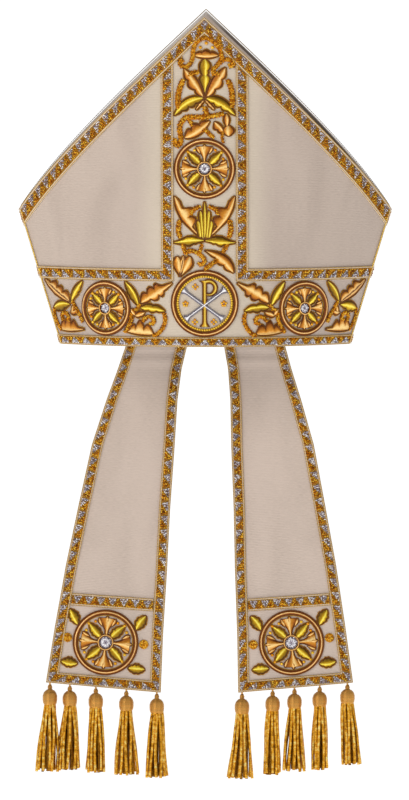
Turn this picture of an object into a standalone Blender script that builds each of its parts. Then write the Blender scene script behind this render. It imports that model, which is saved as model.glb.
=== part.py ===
# A bishop's mitre of pale silk, opened as on a head, with its two lappets and ten tassels.
# Metres, +Z up. The front faces -Y, and the rim of the opening lies in the plane z = 0.

import math

import bmesh
import bpy
from mathutils import Vector

# Space kept between pieces that touch
CLEARANCE = 0.0003

# The horns: each is part of a cone whose cross-section is an arc, and the two arcs make a lens
RIM_RADIUS = 0.1824
HALF_ANGLE = math.radians(47)
FLARE = 0.4145
PEAK_HEIGHT = 0.3034
CORNER_HEIGHT = 0.124
WALL = 0.0025

# The soft cloth between the horns
GUSSET_THICKNESS = 0.0012
GUSSET_DROP = 0.004
GUSSET_SLACK = 0.005
GUSSET_ROUNDING = 0.12

# Braids on the horns
BRAID_WIDTH = 0.0114
BRAID_THICKNESS = 0.0013
RIM_BRAID_WIDTH = 0.009
STRIPE_HALF = 0.0285
BAND_HEIGHT = 0.072

# Thin cords at the seams and on the edge of the back horn
CORD_RADIUS = 0.0006
SIDE_CORD_INSET = 0.0027

# Padded embroidery
RING_WIDTH = 0.005
RING_HEIGHT = 0.0022
INNER_RING_WIDTH = 0.0022
LEAF_EDGE = 0.0008
LEAF_RIDGE = 0.0019
FLOWER_HEIGHT = 0.0013
BOSS_HEIGHT = 0.002
LETTER_HEIGHT = 0.0016

# Lappets
LAPPET_LENGTH = 0.3185
LAPPET_TUCK = 0.012
LAPPET_THICKNESS = 0.002
LAPPET_OFFSET = 0.0442
LAPPET_TOP_WIDTH = 0.0565
LAPPET_BOTTOM_WIDTH = 0.1064
LAPPET_TILT = 0.0094
LAPPET_SWING = {"left": 0.0505, "right": 0.039}
LAPPET_BRAID_WIDTH = 0.01
CROSS_BRAID_WIDTH = 0.0116
SQUARE_HEIGHT = 0.0712

# Tassels
TASSEL_LENGTH = 0.079
TASSEL_HEAD_RADIUS = 0.0069
TASSEL_SPREAD = 0.01
TASSEL_LOCKS = 6

# Steps used round curves
PANEL_STEPS = 32
EDGE_STEPS = 32
UPRIGHT_STEPS = 7
BAND_STEPS = 11
RIM_STEPS = 28
RING_STEPS = 28
LAPPET_STEPS = 14

FRONT, BACK = -1, 1
HANDS = {"left": -1, "right": 1}


def lerp(a, b, share):
    return a + (b - a) * share


def smooth(share):
    share = min(max(share, 0.0), 1.0)
    return share * share * (3 - 2 * share)


# Places on the horns

def arc_radius(z):
    return RIM_RADIUS + FLARE * z


def wall_offset(angle, lift):
    """The change of radius that moves a point this far off the sloping cloth."""
    lean = FLARE * (1 - math.cos(HALF_ANGLE) * math.cos(angle))
    return lift * math.sqrt(1 + lean * lean)


def at_angle(side, angle, z, lift):
    radius = arc_radius(z) + wall_offset(angle, lift)
    depth = radius * math.cos(angle) - arc_radius(z) * math.cos(HALF_ANGLE)
    return Vector((radius * math.sin(angle), side * depth, z))


def on_panel(side):
    """A function that lays a place of the flat pattern on one horn: across, height and lift."""

    def place(across, z, lift):
        return at_angle(side, across / arc_radius(z), z, lift)

    return place


def seam_angle(z, lift):
    """The angle at which a wall surface meets the plane of the side seams."""
    radius = arc_radius(z)
    reach = radius + wall_offset(HALF_ANGLE, lift)
    return math.acos((radius * math.cos(HALF_ANGLE) + CLEARANCE / 2) / reach)


def edge_slope():
    return (PEAK_HEIGHT - CORNER_HEIGHT) / (arc_radius(CORNER_HEIGHT) * HALF_ANGLE)


def edge_height(angle):
    """Height of a horn's sloping edge, which is straight on the flat pattern."""
    turn = abs(angle)
    return (PEAK_HEIGHT - edge_slope() * RIM_RADIUS * turn) / (1 + edge_slope() * FLARE * turn)


def steepness():
    """Vertical size of a unit width measured square to the sloping edge."""
    return math.sqrt(1 + edge_slope() ** 2)


def braid_foot(angle):
    """Height of the lower edge of the braid that runs along a horn's sloping edge."""
    return edge_height(angle) - CLEARANCE - BRAID_WIDTH * steepness()


def under_edge_braid(across):
    """Where an upright line at this distance from the middle meets the sloping braid."""
    z = BAND_HEIGHT
    for _ in range(12):
        z = braid_foot(across / arc_radius(z)) - CLEARANCE * steepness()
    return z


def seam_margin(side):
    """Distance from the side seam at which the braids stop: the front ones stop at the side cord."""
    return SIDE_CORD_INSET + CORD_RADIUS + CLEARANCE if side == FRONT else 2 * CLEARANCE


def side_reach(side, z):
    return arc_radius(z) * HALF_ANGLE - seam_margin(side)


# Making objects

def material(name, colour, roughness, metallic):
    made = bpy.data.materials.new(name)
    made.use_nodes = True
    shader = made.node_tree.nodes["Principled BSDF"]
    shader.inputs["Base Color"].default_value = (*colour, 1.0)
    shader.inputs["Roughness"].default_value = roughness
    shader.inputs["Metallic"].default_value = metallic
    return made


def new_collection(name):
    made = bpy.data.collections.new(name)
    bpy.context.scene.collection.children.link(made)
    return made


def add_object(name, mesh, skin):
    made = bpy.data.objects.new(name, mesh)
    made.data.materials.clear()
    made.data.materials.append(skin)
    made.parent = ORIGIN
    PARTS.objects.link(made)
    return made


def finished_mesh(name, work):
    """A mesh with its faces turned outwards, from a bmesh that it frees."""
    bmesh.ops.recalc_face_normals(work, faces=work.faces[:])
    if work.calc_volume(signed=True) < 0:
        bmesh.ops.reverse_faces(work, faces=work.faces[:])
    mesh = bpy.data.meshes.new(name)
    work.to_mesh(mesh)
    work.free()
    return mesh


def shaped_slab(name, columns, rows, place, skin):
    """A sheet of cloth: a grid pulled up into a slab, whose corners place(u, v, w) then moves."""
    work = bmesh.new()
    bmesh.ops.create_grid(work, x_segments=columns, y_segments=rows, size=0.5)
    pulled = bmesh.ops.extrude_face_region(work, geom=work.faces[:])
    for part in pulled["geom"]:
        if isinstance(part, bmesh.types.BMVert):
            part.co.z = 1.0
    for vertex in work.verts:
        vertex.co = place(vertex.co.x + 0.5, vertex.co.y + 0.5, vertex.co.z)
    return add_object(name, finished_mesh(name, work), skin)


def braid(name, outer, inner, place, skin):
    """A flat woven braid between two lines of pattern places, laid on what carries it."""
    work = bmesh.new()
    rows = []
    for out_place, in_place in zip(outer, inner):
        low, high = CLEARANCE, CLEARANCE + BRAID_THICKNESS
        section = [(out_place, low), (out_place, high), (in_place, high), (in_place, low)]
        rows.append([work.verts.new(place(*spot, lift)) for spot, lift in section])
    for first, second in zip(rows, rows[1:]):
        for i in range(4):
            j = (i + 1) % 4
            work.faces.new((first[i], first[j], second[j], second[i]))
    work.faces.new(rows[0])
    work.faces.new(rows[-1])
    return add_object(name, finished_mesh(name, work), skin)


def cord(name, points, skin):
    """A thin twisted cord through these points."""
    curve = bpy.data.curves.new(name, "CURVE")
    curve.dimensions = "3D"
    curve.bevel_depth = CORD_RADIUS
    curve.bevel_resolution = 1
    curve.use_fill_caps = True
    line = curve.splines.new("POLY")
    line.points.add(len(points) - 1)
    for point, place in zip(line.points, points):
        point.co = (*place, 1.0)
    return add_object(name, curve, skin)


# The horns and the cloth between them

def horn(name, side, skin):
    def place(u, v, w):
        lift = -WALL * (1 - w)
        share = 2 * u - 1
        guess = v * edge_height(share * HALF_ANGLE)
        angle = share * seam_angle(guess, lift)
        return at_angle(side, angle, v * edge_height(angle), lift)

    return shaped_slab(name, PANEL_STEPS, 1, place, skin)


def gusset_place(u, v):
    """The underside of the folded cloth: u from left to right, v from the front horn to the back."""
    widest = HALF_ANGLE - math.asin((WALL + GUSSET_SLACK) / arc_radius(CORNER_HEIGHT))
    angle = (2 * u - 1) * widest
    top = at_angle(FRONT, angle, edge_height(angle) - GUSSET_DROP, -WALL - CLEARANCE)
    half = -top.y
    flap = top.z - CORNER_HEIGHT + GUSSET_SLACK
    valley = top.z - math.sqrt(max(flap * flap - half * half, 0.0))
    across = 2 * v - 1
    rise = math.hypot(across, GUSSET_ROUNDING) - GUSSET_ROUNDING
    full = math.hypot(1.0, GUSSET_ROUNDING) - GUSSET_ROUNDING
    return Vector((top.x, across * half, lerp(valley, top.z, rise / full)))


def crown_gusset(skin):
    step = 0.01

    def place(u, v, w):
        low_u, low_v = min(u, 1 - step), min(v, 1 - step)
        spot = gusset_place(u, v)
        along = gusset_place(low_u + step, v) - gusset_place(low_u, v)
        across = gusset_place(u, low_v + step) - gusset_place(u, low_v)
        return spot + along.cross(across).normalized() * GUSSET_THICKNESS * w

    return shaped_slab("crown_gusset", 16, 6, place, skin)


def edge_braid(name, side, skin):
    stop = HALF_ANGLE - seam_margin(side) / arc_radius(CORNER_HEIGHT)
    outer, inner = [], []
    for i in range(EDGE_STEPS + 1):
        angle = (2 * i / EDGE_STEPS - 1) * stop
        high, low = edge_height(angle) - CLEARANCE, braid_foot(angle)
        outer.append((angle * arc_radius(high), high))
        inner.append((angle * arc_radius(low), low))
    return braid(name, outer, inner, on_panel(side), skin)


def corner_braid(name, side, hand, skin):
    """Up beside the middle stripe and out along the top of the brow band, mitred at the corner."""
    near, far = STRIPE_HALF, STRIPE_HALF + BRAID_WIDTH
    low, high = BAND_HEIGHT - BRAID_WIDTH, BAND_HEIGHT
    outer, inner = [], []
    for i in range(UPRIGHT_STEPS + 1):
        share = i / UPRIGHT_STEPS
        outer.append((hand * far, lerp(under_edge_braid(far), high, share)))
        inner.append((hand * near, lerp(under_edge_braid(near), low, share)))
    for i in range(1, BAND_STEPS + 1):
        share = i / BAND_STEPS
        outer.append((hand * lerp(far, side_reach(side, high), share), high))
        inner.append((hand * lerp(near, side_reach(side, low), share), low))
    return braid(name, outer, inner, on_panel(side), skin)


def rim_braid(name, side, skin):
    outer, inner = [], []
    for i in range(RIM_STEPS + 1):
        share = 2 * i / RIM_STEPS - 1
        outer.append((share * side_reach(side, RIM_BRAID_WIDTH), RIM_BRAID_WIDTH))
        inner.append((share * side_reach(side, CLEARANCE), CLEARANCE))
    return braid(name, outer, inner, on_panel(side), skin)


def side_cord(name, hand, skin):
    lift = CLEARANCE + CORD_RADIUS
    top = CORNER_HEIGHT - CORD_RADIUS
    points = []
    for i in range(7):
        z = lerp(CORD_RADIUS, top, i / 6)
        angle = HALF_ANGLE - SIDE_CORD_INSET / arc_radius(z)
        points.append(at_angle(FRONT, hand * angle, z, lift))
    return cord(name, points, skin)


def back_edge_cord(skin):
    """Lies on the top of the back horn's wall, from one side corner over the peak to the other."""
    stop = HALF_ANGLE - SIDE_CORD_INSET / arc_radius(CORNER_HEIGHT)
    points = []
    for i in range(EDGE_STEPS + 1):
        angle = (2 * i / EDGE_STEPS - 1) * stop
        rise = (CORD_RADIUS + 2 * CLEARANCE) * steepness()
        points.append(at_angle(BACK, angle, edge_height(angle) + rise, -WALL / 2))
    return cord("back_edge_cord", points, skin)


# Padded embroidery, shaped flat and then laid on the cloth

# Along a leaf from its base: share of the length, share of the half width
LEAF_STATIONS = ((0.2, 0.7), (0.5, 1.0), (0.8, 0.62))


def leaf(tip, base, half_width, bend, rank=0):
    """A leaf with a raised ridge. half_width and bend are shares of the length, and rank lifts it a hair."""
    start, end = Vector(base), Vector(tip)
    span = end - start
    side = Vector((-span.y, span.x))
    middle = start.lerp(end, 0.5) + side * bend
    low = 0.00001 * rank
    edge, ridge = LEAF_EDGE + 0.00002 * rank, LEAF_RIDGE + 0.00003 * rank

    def spine(s):
        return start * (1 - s) ** 2 + middle * 2 * s * (1 - s) + end * s * s

    work = bmesh.new()

    def corner(spot, height):
        return work.verts.new((spot.x, spot.y, height))

    rows = []
    for s, width in LEAF_STATIONS:
        centre = spine(s)
        out = side * half_width * width
        rows.append((
            corner(centre - out, low), corner(centre + out, low), corner(centre + out, edge),
            corner(centre, ridge), corner(centre - out, edge),
        ))
    for first, second in zip(rows, rows[1:]):
        for i in range(5):
            j = (i + 1) % 5
            work.faces.new((first[i], first[j], second[j], second[i]))
    for row, spot in ((rows[0], start), (rows[-1], end)):
        bottom, top = corner(spot, low), corner(spot, edge)
        work.faces.new((row[0], row[1], bottom))
        work.faces.new((row[1], row[2], top, bottom))
        work.faces.new((row[2], row[3], top))
        work.faces.new((row[3], row[4], top))
        work.faces.new((row[4], row[0], bottom, top))
    return finished_mesh("leaf", work)


def prism(outline, height, floor=0.0):
    work = bmesh.new()
    face = work.faces.new([work.verts.new((x, y, floor)) for x, y in outline])
    pulled = bmesh.ops.extrude_face_region(work, geom=[face])
    for part in pulled["geom"]:
        if isinstance(part, bmesh.types.BMVert):
            part.co.z = height
    return finished_mesh("prism", work)


def disc(centre, radius, height, floor=0.0, sides=12):
    work = bmesh.new()
    bmesh.ops.create_cone(
        work, cap_ends=True, segments=sides, radius1=radius, radius2=radius * 0.8, depth=height - floor
    )
    bmesh.ops.translate(work, verts=work.verts[:], vec=(centre[0], centre[1], (height + floor) / 2))
    return finished_mesh("disc", work)


def ring(outer_radius, width, height):
    """A padded ring: a low rounded section spun once round."""
    shares = ((0.0, 0.0), (0.22, 1.0), (0.78, 1.0), (1.0, 0.0))
    work = bmesh.new()
    inner = outer_radius - width
    corners = [work.verts.new((inner + width * across, 0.0, height * up)) for across, up in shares]
    loop = [work.edges.new((a, b)) for a, b in zip(corners, corners[1:] + corners[:1])]
    bmesh.ops.spin(
        work, geom=corners + loop, cent=(0, 0, 0), axis=(0, 0, 1), angle=2 * math.pi,
        steps=RING_STEPS, use_merge=True,
    )
    bmesh.ops.remove_doubles(work, verts=work.verts[:], dist=1e-6)
    return finished_mesh("ring", work)


def fused(meshes):
    """One closed mesh from several that overlap."""
    shapes = []
    for mesh in meshes:
        shape = bpy.data.objects.new("shape", mesh)
        shape.display_type = "WIRE"
        shape.hide_render = True
        CUTTERS.objects.link(shape)
        shapes.append(shape)
    for other in shapes[1:]:
        union = shapes[0].modifiers.new("join", "BOOLEAN")
        union.operation = "UNION"
        union.solver = "EXACT"
        union.object = other
    graph = bpy.context.evaluated_depsgraph_get()
    joined = bpy.data.meshes.new_from_object(shapes[0].evaluated_get(graph))
    for shape in shapes:
        bpy.data.objects.remove(shape)
    return joined


def motif(name, meshes, place, skin):
    """Fuses flat shapes and lays them on the cloth with place(across, up, lift)."""
    mesh = fused(meshes)
    work = bmesh.new()
    work.from_mesh(mesh)
    bmesh.ops.remove_doubles(work, verts=work.verts[:], dist=1e-6)
    bmesh.ops.triangulate(work, faces=work.faces[:])
    for vertex in work.verts:
        vertex.co = place(vertex.co.x, vertex.co.y, vertex.co.z + CLEARANCE)
    return add_object(name, finished_mesh(name, work), skin)


def around(place, across, up):
    """Moves a place function so that a motif drawn round zero lies round this spot."""
    return lambda x, y, lift: place(across + x, up + y, lift)


# Flower petals, as shares of the ring's inner radius: distance from the centre, half width
CROSS_PETAL = ((0.24, 0.045), (0.55, 0.09), (0.8, 0.33), (0.9, 0.0))
LEAF_PETAL = ((0.24, 0.05), (0.55, 0.165), (0.86, 0.0))
BOSS_SHARE = 0.27


def flower(name, reach, place, skin):
    """Four flared cross petals and four leaf petals round a raised boss."""
    outline = []
    for i in range(8):
        angle = i * math.pi / 4
        petal = LEAF_PETAL if i % 2 else CROSS_PETAL
        sides = [(r, -half) for r, half in petal] + [(r, half) for r, half in reversed(petal[:-1])]
        for r, half in sides:
            x = reach * (r * math.cos(angle) - half * math.sin(angle))
            y = reach * (r * math.sin(angle) + half * math.cos(angle))
            outline.append((x, y))
    boss = disc((0, 0), reach * BOSS_SHARE, BOSS_HEIGHT, floor=0.00001, sides=8)
    return motif(name, [prism(outline, FLOWER_HEIGHT), boss], place, skin)


# The monogram, as shares of the radius inside its rings
BAR_HALF = 0.055
BAR_END_HALF = 0.125
BAR_ENDS = (((-0.79, 0.5), (0.74, -0.62)), ((0.79, 0.51), (-0.74, -0.62)))
STAFF_TOP = 0.9
STAFF_FOOT = -0.92
STAFF_HALF = 0.065
STAFF_FOOT_HALF = 0.19
SERIF_REACH = 0.23
BOWL_CENTRE = (0.16, 0.61)
BOWL_RADIUS = 0.27


def bone(start, end, half, end_half, scale, height, floor):
    """A straight bar with flared ends."""
    a, b = Vector(start) * scale, Vector(end) * scale
    along = (b - a).normalized()
    side = Vector((-along.y, along.x)) * scale
    neck = along * end_half * 2 * scale
    outline = [
        a + side * end_half, a + neck + side * half, b - neck + side * half, b + side * end_half,
        b - side * end_half, b - neck - side * half, a + neck - side * half, a - side * end_half,
    ]
    return prism([tuple(spot) for spot in outline], height, floor)


def monogram(reach, place, skin):
    staff = prism([
        (-STAFF_FOOT_HALF * reach, STAFF_FOOT * reach), (STAFF_FOOT_HALF * reach, STAFF_FOOT * reach),
        (STAFF_HALF * reach, (STAFF_FOOT + STAFF_FOOT_HALF) * reach),
        (STAFF_HALF * reach, STAFF_TOP * reach), (-SERIF_REACH * reach, STAFF_TOP * reach),
        (-STAFF_HALF * reach, (STAFF_TOP - 2 * STAFF_HALF) * reach),
        (-STAFF_HALF * reach, (STAFF_FOOT + STAFF_FOOT_HALF) * reach),
    ], LETTER_HEIGHT)
    turns = [math.radians(115 - 25 * i) for i in range(10)]
    outside = [(BOWL_RADIUS + STAFF_HALF, turn) for turn in turns]
    inside = [(BOWL_RADIUS - STAFF_HALF, turn) for turn in reversed(turns)]
    outline = []
    for radius, turn in outside + inside:
        x = BOWL_CENTRE[0] + radius * math.cos(turn)
        y = BOWL_CENTRE[1] + radius * math.sin(turn)
        outline.append((x * reach, y * reach))
    bowl = prism(outline, LETTER_HEIGHT * 0.94, 0.00001)
    shapes = [staff, bowl]
    for i, (start, end) in enumerate(BAR_ENDS):
        height = LETTER_HEIGHT * (1.1 + 0.08 * i)
        shapes.append(bone(start, end, BAR_HALF, BAR_END_HALF, reach, height, 0.00002 * (i + 1)))
    return motif("monogram", shapes, place, skin)


# Leaves of the middle stripe: tip across, tip up, base across, base up, half width, bend.
# Across is a share of STRIPE_HALF, up is a share of the gap between two rings or below the peak.
CREST_LEAVES = (
    (0.01, 0.74, 0.01, 0.36, 0.16, 0.0),
    (-0.64, 0.65, -0.01, 0.37, 0.14, 0.0),
    (0.66, 0.66, 0.03, 0.37, 0.14, 0.0),
    (-0.94, 0.22, 0.0, 0.385, 0.12, 0.16),
    (0.96, 0.22, 0.02, 0.385, 0.12, -0.16),
    (-0.27, 0.28, 0.02, 0.39, 0.13, 0.0),
    (0.32, 0.28, 0.0, 0.39, 0.13, 0.0),
)
CAP_LEAF = ((-0.33, 0.8, 0.43, 0.8, 0.17, -0.08),)
BUD_LEAF = ((0.17, 0.15, -0.6, 0.01, 0.16, -0.06),)
BERRY_LEAVES = (
    (0.3, 0.15, 0.68, 0.04, 0.2, 0.0),
    (0.71, 0.18, 0.71, 0.06, 0.2, 0.0),
)
BERRY = (0.77, 0.07, 0.15)
PALM_LEAVES = (
    (0.0, 0.96, 0.0, 0.4, 0.2, 0.0),
    (-0.95, 1.03, 0.0, 0.43, 0.15, 0.14),
    (0.95, 1.03, 0.0, 0.43, 0.15, -0.14),
    (-0.94, 0.39, 0.04, 0.42, 0.1, -0.05),
    (0.94, 0.39, -0.04, 0.42, 0.1, 0.05),
)
HEART_LEAVES = (
    (-0.84, 0.18, -0.72, -0.08, 0.24, 0.0),
    (-0.46, 0.18, -0.76, -0.08, 0.2, 0.0),
)
LOWER_LEAF = ((0.9, -0.04, 0.05, 0.27, 0.14, 0.12),)

# Leaves of the brow band: across is a share of the free space beside the side roundel, up of the band
INNER_LEAVES = (
    (1.12, 0.96, 0.74, 0.56, 0.13, -0.06),
    (-0.02, 0.95, 0.78, 0.56, 0.14, 0.0),
    (0.15, 0.5, 0.84, 0.5, 0.13, 0.08),
    (0.92, 0.42, 0.74, 0.57, 0.22, 0.0),
)
INNER_LOBED_LEAF = ((1.07, 0.07, 0.43, 0.07, 0.16, 0.2),)
OUTER_LEAVES = (
    (-0.02, 0.95, 0.36, 0.56, 0.13, 0.06),
    (0.9, 0.93, 0.3, 0.54, 0.15, 0.0),
    (0.88, 0.46, 0.26, 0.52, 0.15, 0.08),
    (0.12, 0.42, 0.34, 0.57, 0.22, 0.0),
)
OUTER_LOBED_LEAF = ((-0.08, 0.11, 0.8, 0.09, 0.16, -0.2),)


def sprays(rows, spot):
    """Leaf shapes from a table, with spot(across, up) giving pattern places."""
    made = []
    for rank, (tip_x, tip_y, base_x, base_y, half_width, bend) in enumerate(rows):
        made.append(leaf(spot(tip_x, tip_y), spot(base_x, base_y), half_width, bend, rank))
    return made


def front_embroidery(gold, rose, lemon):
    place = on_panel(FRONT)
    band_low, band_high = RIM_BRAID_WIDTH, BAND_HEIGHT - BRAID_WIDTH
    apex = braid_foot(0.0)

    monogram_radius = STRIPE_HALF * 1.09
    monogram_up = band_low + CLEARANCE + monogram_radius
    monogram_place = around(place, 0.0, monogram_up)
    motif("monogram_roundel", [ring(monogram_radius, RING_WIDTH, RING_HEIGHT)], monogram_place, rose)
    inner_radius = monogram_radius - RING_WIDTH - CLEARANCE
    inner = ring(inner_radius, INNER_RING_WIDTH, RING_HEIGHT * 0.6)
    motif("monogram_inner_ring", [inner], monogram_place, gold)
    monogram(inner_radius - INNER_RING_WIDTH - CLEARANCE, monogram_place, gold)

    upper_radius = STRIPE_HALF - CLEARANCE
    upper_up = lerp(BAND_HEIGHT, apex, 0.428)
    upper_place = around(place, 0.0, upper_up)
    motif("upper_roundel", [ring(upper_radius, RING_WIDTH, RING_HEIGHT)], upper_place, rose)
    flower("upper_flower", upper_radius - RING_WIDTH, upper_place, gold)

    crest_low, palm_high = upper_up + upper_radius, upper_up - upper_radius
    palm_low = monogram_up + monogram_radius

    def crest_spot(across, up):
        return across * STRIPE_HALF, lerp(crest_low, apex, up)

    def palm_spot(across, up):
        return across * STRIPE_HALF, lerp(palm_low, palm_high, up)

    motif("upper_spray", sprays(CREST_LEAVES, crest_spot), place, lemon)
    motif("cap_leaf", sprays(CAP_LEAF, crest_spot), place, rose)
    motif("bud_leaf", sprays(BUD_LEAF, crest_spot), place, rose)
    berry = disc(crest_spot(BERRY[0], BERRY[1]), BERRY[2] * STRIPE_HALF, LEAF_RIDGE, 0.00005)
    motif("berry_cluster", sprays(BERRY_LEAVES, crest_spot) + [berry], place, rose)
    motif("palm_spray", sprays(PALM_LEAVES, palm_spot), place, lemon)
    motif("heart_bud", sprays(HEART_LEAVES, palm_spot), place, rose)
    motif("lower_leaf", sprays(LOWER_LEAF, palm_spot), place, rose)

    side_radius = (band_high - band_low) / 2 - CLEARANCE
    side_up = (band_low + band_high) / 2
    side_across = (monogram_radius + side_reach(FRONT, side_up)) / 2
    for side_name, hand in HANDS.items():
        side_place = around(place, hand * side_across, side_up)
        motif(f"{side_name}_roundel", [ring(side_radius, RING_WIDTH, RING_HEIGHT)], side_place, rose)
        flower(f"{side_name}_flower", side_radius - RING_WIDTH, side_place, gold)

        def inner_spot(across, up):
            x = lerp(monogram_radius, side_across - side_radius, across)
            return hand * x, lerp(band_low, band_high, up)

        def outer_spot(across, up):
            z = lerp(band_low, band_high, up)
            x = lerp(side_across + side_radius, side_reach(FRONT, z), across)
            return hand * x, z

        for part, rows, lobed, spot in (
            ("inner", INNER_LEAVES, INNER_LOBED_LEAF, inner_spot),
            ("outer", OUTER_LEAVES, OUTER_LOBED_LEAF, outer_spot),
        ):
            motif(f"{side_name}_{part}_spray", sprays(mirrored(rows, hand), spot), place, lemon)
            motif(f"{side_name}_{part}_lobed_leaf", sprays(mirrored(lobed, hand), spot), place, rose)


def mirrored(rows, hand):
    """The same leaves for the other hand: mirroring turns a bend round."""
    return [(*row[:5], row[5] * hand) for row in rows]


# The lappets

# Down a lappet from the rim: share of the length, share of the swing outwards, share of the widening
LAPPET_SHAPE = (
    (0.0, 0.0, 0.0),
    (0.08, 0.147, 0.045),
    (0.17, 0.289, 0.18),
    (0.302, 0.45, 0.4),
    (0.48, 0.614, 0.565),
    (0.657, 0.76, 0.745),
    (0.834, 0.895, 0.874),
    (1.0, 1.0, 1.0),
)
LAPPET_FLAT_FROM = 0.6


def lappet_state(drop):
    """Swing and widening at this share of the length, between the rows of the table."""
    drop = max(drop, 0.0)
    for above, below in zip(LAPPET_SHAPE, LAPPET_SHAPE[1:]):
        if drop <= below[0]:
            share = (drop - above[0]) / (below[0] - above[0])
            return lerp(above[1], below[1], share), lerp(above[2], below[2], share)
    return LAPPET_SHAPE[-1][1:]


def lappet_width(drop):
    return lerp(LAPPET_TOP_WIDTH, LAPPET_BOTTOM_WIDTH, lappet_state(drop)[1])


def wall_depth(across, z):
    """How far behind the middle the inside of the back horn lies."""
    z, lift = max(z, 0.0), -WALL - CLEARANCE
    angle = 0.0
    for _ in range(4):
        angle = math.asin(min(abs(across) / (arc_radius(z) + wall_offset(angle, lift)), 0.95))
    return at_angle(BACK, angle, z, lift).y


def on_lappet(hand_name):
    """Lays a place on a lappet: u from its outer to its inner edge, drop down its length, lift forward."""
    hand = HANDS[hand_name]

    def place(u, drop, lift):
        swing, _ = lappet_state(drop)
        centre = LAPPET_OFFSET + LAPPET_SWING[hand_name] * swing
        across = centre + lappet_width(drop) * (0.5 - u)
        z = -LAPPET_LENGTH * drop - LAPPET_TILT * max(drop, 0.0) * (u - 0.5)
        at_rim = LAPPET_OFFSET + LAPPET_TOP_WIDTH * (0.5 - u)
        flat = smooth(drop / LAPPET_FLAT_FROM)
        depth = lerp(wall_depth(at_rim, z), wall_depth(LAPPET_OFFSET, 0.0), flat)
        return Vector((hand * across, depth - LAPPET_THICKNESS - lift, z))

    return place


def lappet_drops(tuck, foot):
    """Shares of the length at which a lappet has points: one inside the rim, then evenly from the rim."""
    return [-tuck / LAPPET_LENGTH] + [foot * i / LAPPET_STEPS for i in range(LAPPET_STEPS + 1)]


def lappet(hand_name, skin):
    place = on_lappet(hand_name)
    drops = lappet_drops(LAPPET_TUCK, 1.0)

    def slab_place(u, v, w):
        drop = drops[round(v * (LAPPET_STEPS + 1))]
        return place(u, drop, -LAPPET_THICKNESS * (1 - w))

    return shaped_slab(f"{hand_name}_lappet", 6, LAPPET_STEPS + 1, slab_place, skin)


def lappet_braids(hand_name, skin):
    """One braid down the sides and along the foot, mitred at the corners, and one across above the square."""
    cloth = on_lappet(hand_name)

    def place(u, drop, lift):
        return cloth(u, drop, lift + CLEARANCE)

    foot = 1 - CLEARANCE / LAPPET_LENGTH
    inside_foot = foot - LAPPET_BRAID_WIDTH / LAPPET_LENGTH
    tuck = 0.6 * LAPPET_TUCK
    down = list(zip(lappet_drops(tuck, foot), lappet_drops(tuck, inside_foot)))

    def margin(drop):
        return CLEARANCE / lappet_width(drop)

    def inset(drop):
        return margin(drop) + LAPPET_BRAID_WIDTH / lappet_width(drop)

    outer, inner = [], []
    for low, high in down:
        outer.append((margin(low), low))
        inner.append((inset(high), high))
    for i in range(1, 5):
        outer.append((lerp(margin(foot), 1 - margin(foot), i / 5), foot))
        inner.append((lerp(inset(inside_foot), 1 - inset(inside_foot), i / 5), inside_foot))
    for low, high in reversed(down):
        outer.append((1 - margin(low), low))
        inner.append((1 - inset(high), high))
    braid(f"{hand_name}_lappet_border", outer, inner, place, skin)

    low = 1 - SQUARE_HEIGHT / LAPPET_LENGTH
    high = low - CROSS_BRAID_WIDTH / LAPPET_LENGTH
    outer, inner = [], []
    for i in range(7):
        share = i / 6
        start_high, start_low = inset(high) + 2 * margin(high), inset(low) + 2 * margin(low)
        outer.append((lerp(start_high, 1 - start_high, share), high))
        inner.append((lerp(start_low, 1 - start_low, share), low))
    braid(f"{hand_name}_lappet_cross_braid", outer, inner, place, skin)


# Leaves round a lappet's roundel: angle of the base, angle of the tip, reach of the tip in radii
CORNER_LEAVES = ((30, 38, 1.46), (152, 141, 1.46), (221, 212, 1.42), (-41, -32, 1.42))
SIDE_DISCS = (2, 178)


def lappet_square(hand_name, rose, gold):
    """The padded roundel with its corner leaves and side discs, and the flower inside it."""
    hand = HANDS[hand_name]
    radius = (SQUARE_HEIGHT - LAPPET_BRAID_WIDTH) / 2 - 2 * CLEARANCE
    drop = 1 - (SQUARE_HEIGHT + LAPPET_BRAID_WIDTH) / 2 / LAPPET_LENGTH
    centre = on_lappet(hand_name)(0.5, drop, 0.0)
    tilt = math.atan(LAPPET_TILT / lappet_width(1.0))

    def place(x, y, lift):
        across = x * math.cos(tilt) - y * math.sin(tilt)
        up = x * math.sin(tilt) + y * math.cos(tilt)
        return Vector((centre.x + hand * across, centre.y - lift, centre.z + up))

    shapes = [ring(radius, RING_WIDTH, RING_HEIGHT)]
    for rank, (base_angle, tip_angle, reach) in enumerate(CORNER_LEAVES):
        base = Vector((math.cos(math.radians(base_angle)), math.sin(math.radians(base_angle))))
        tip = Vector((math.cos(math.radians(tip_angle)), math.sin(math.radians(tip_angle))))
        shapes.append(leaf(tip * radius * reach, base * radius * 0.97, 0.2, 0.0, rank + 1))
    for rank, angle in enumerate(SIDE_DISCS):
        spot = Vector((math.cos(math.radians(angle)), math.sin(math.radians(angle)))) * radius * 1.1
        shapes.append(disc(spot, radius * 0.12, LEAF_RIDGE, 0.00001 * (rank + 6), 10))
    motif(f"{hand_name}_lappet_roundel", shapes, place, rose)
    flower(f"{hand_name}_lappet_flower", radius - RING_WIDTH, place, gold)


# The tassels

# Down a tassel: share of the length, radius as a share of the head's, share of the skirt's spread, fluting
TASSEL_SECTIONS = (
    (0.0, 0.13, 0.0, 0.0),
    (0.07, 0.31, 0.0, 0.0),
    (0.105, 0.22, 0.0, 0.0),
    (0.14, 0.76, 0.0, 0.0),
    (0.2, 1.0, 0.0, 0.0),
    (0.285, 0.68, 0.0, 0.0),
    (0.36, 0.94, 0.0, 0.05),
    (1.0, 0.94, 1.0, 0.14),
)
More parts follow.
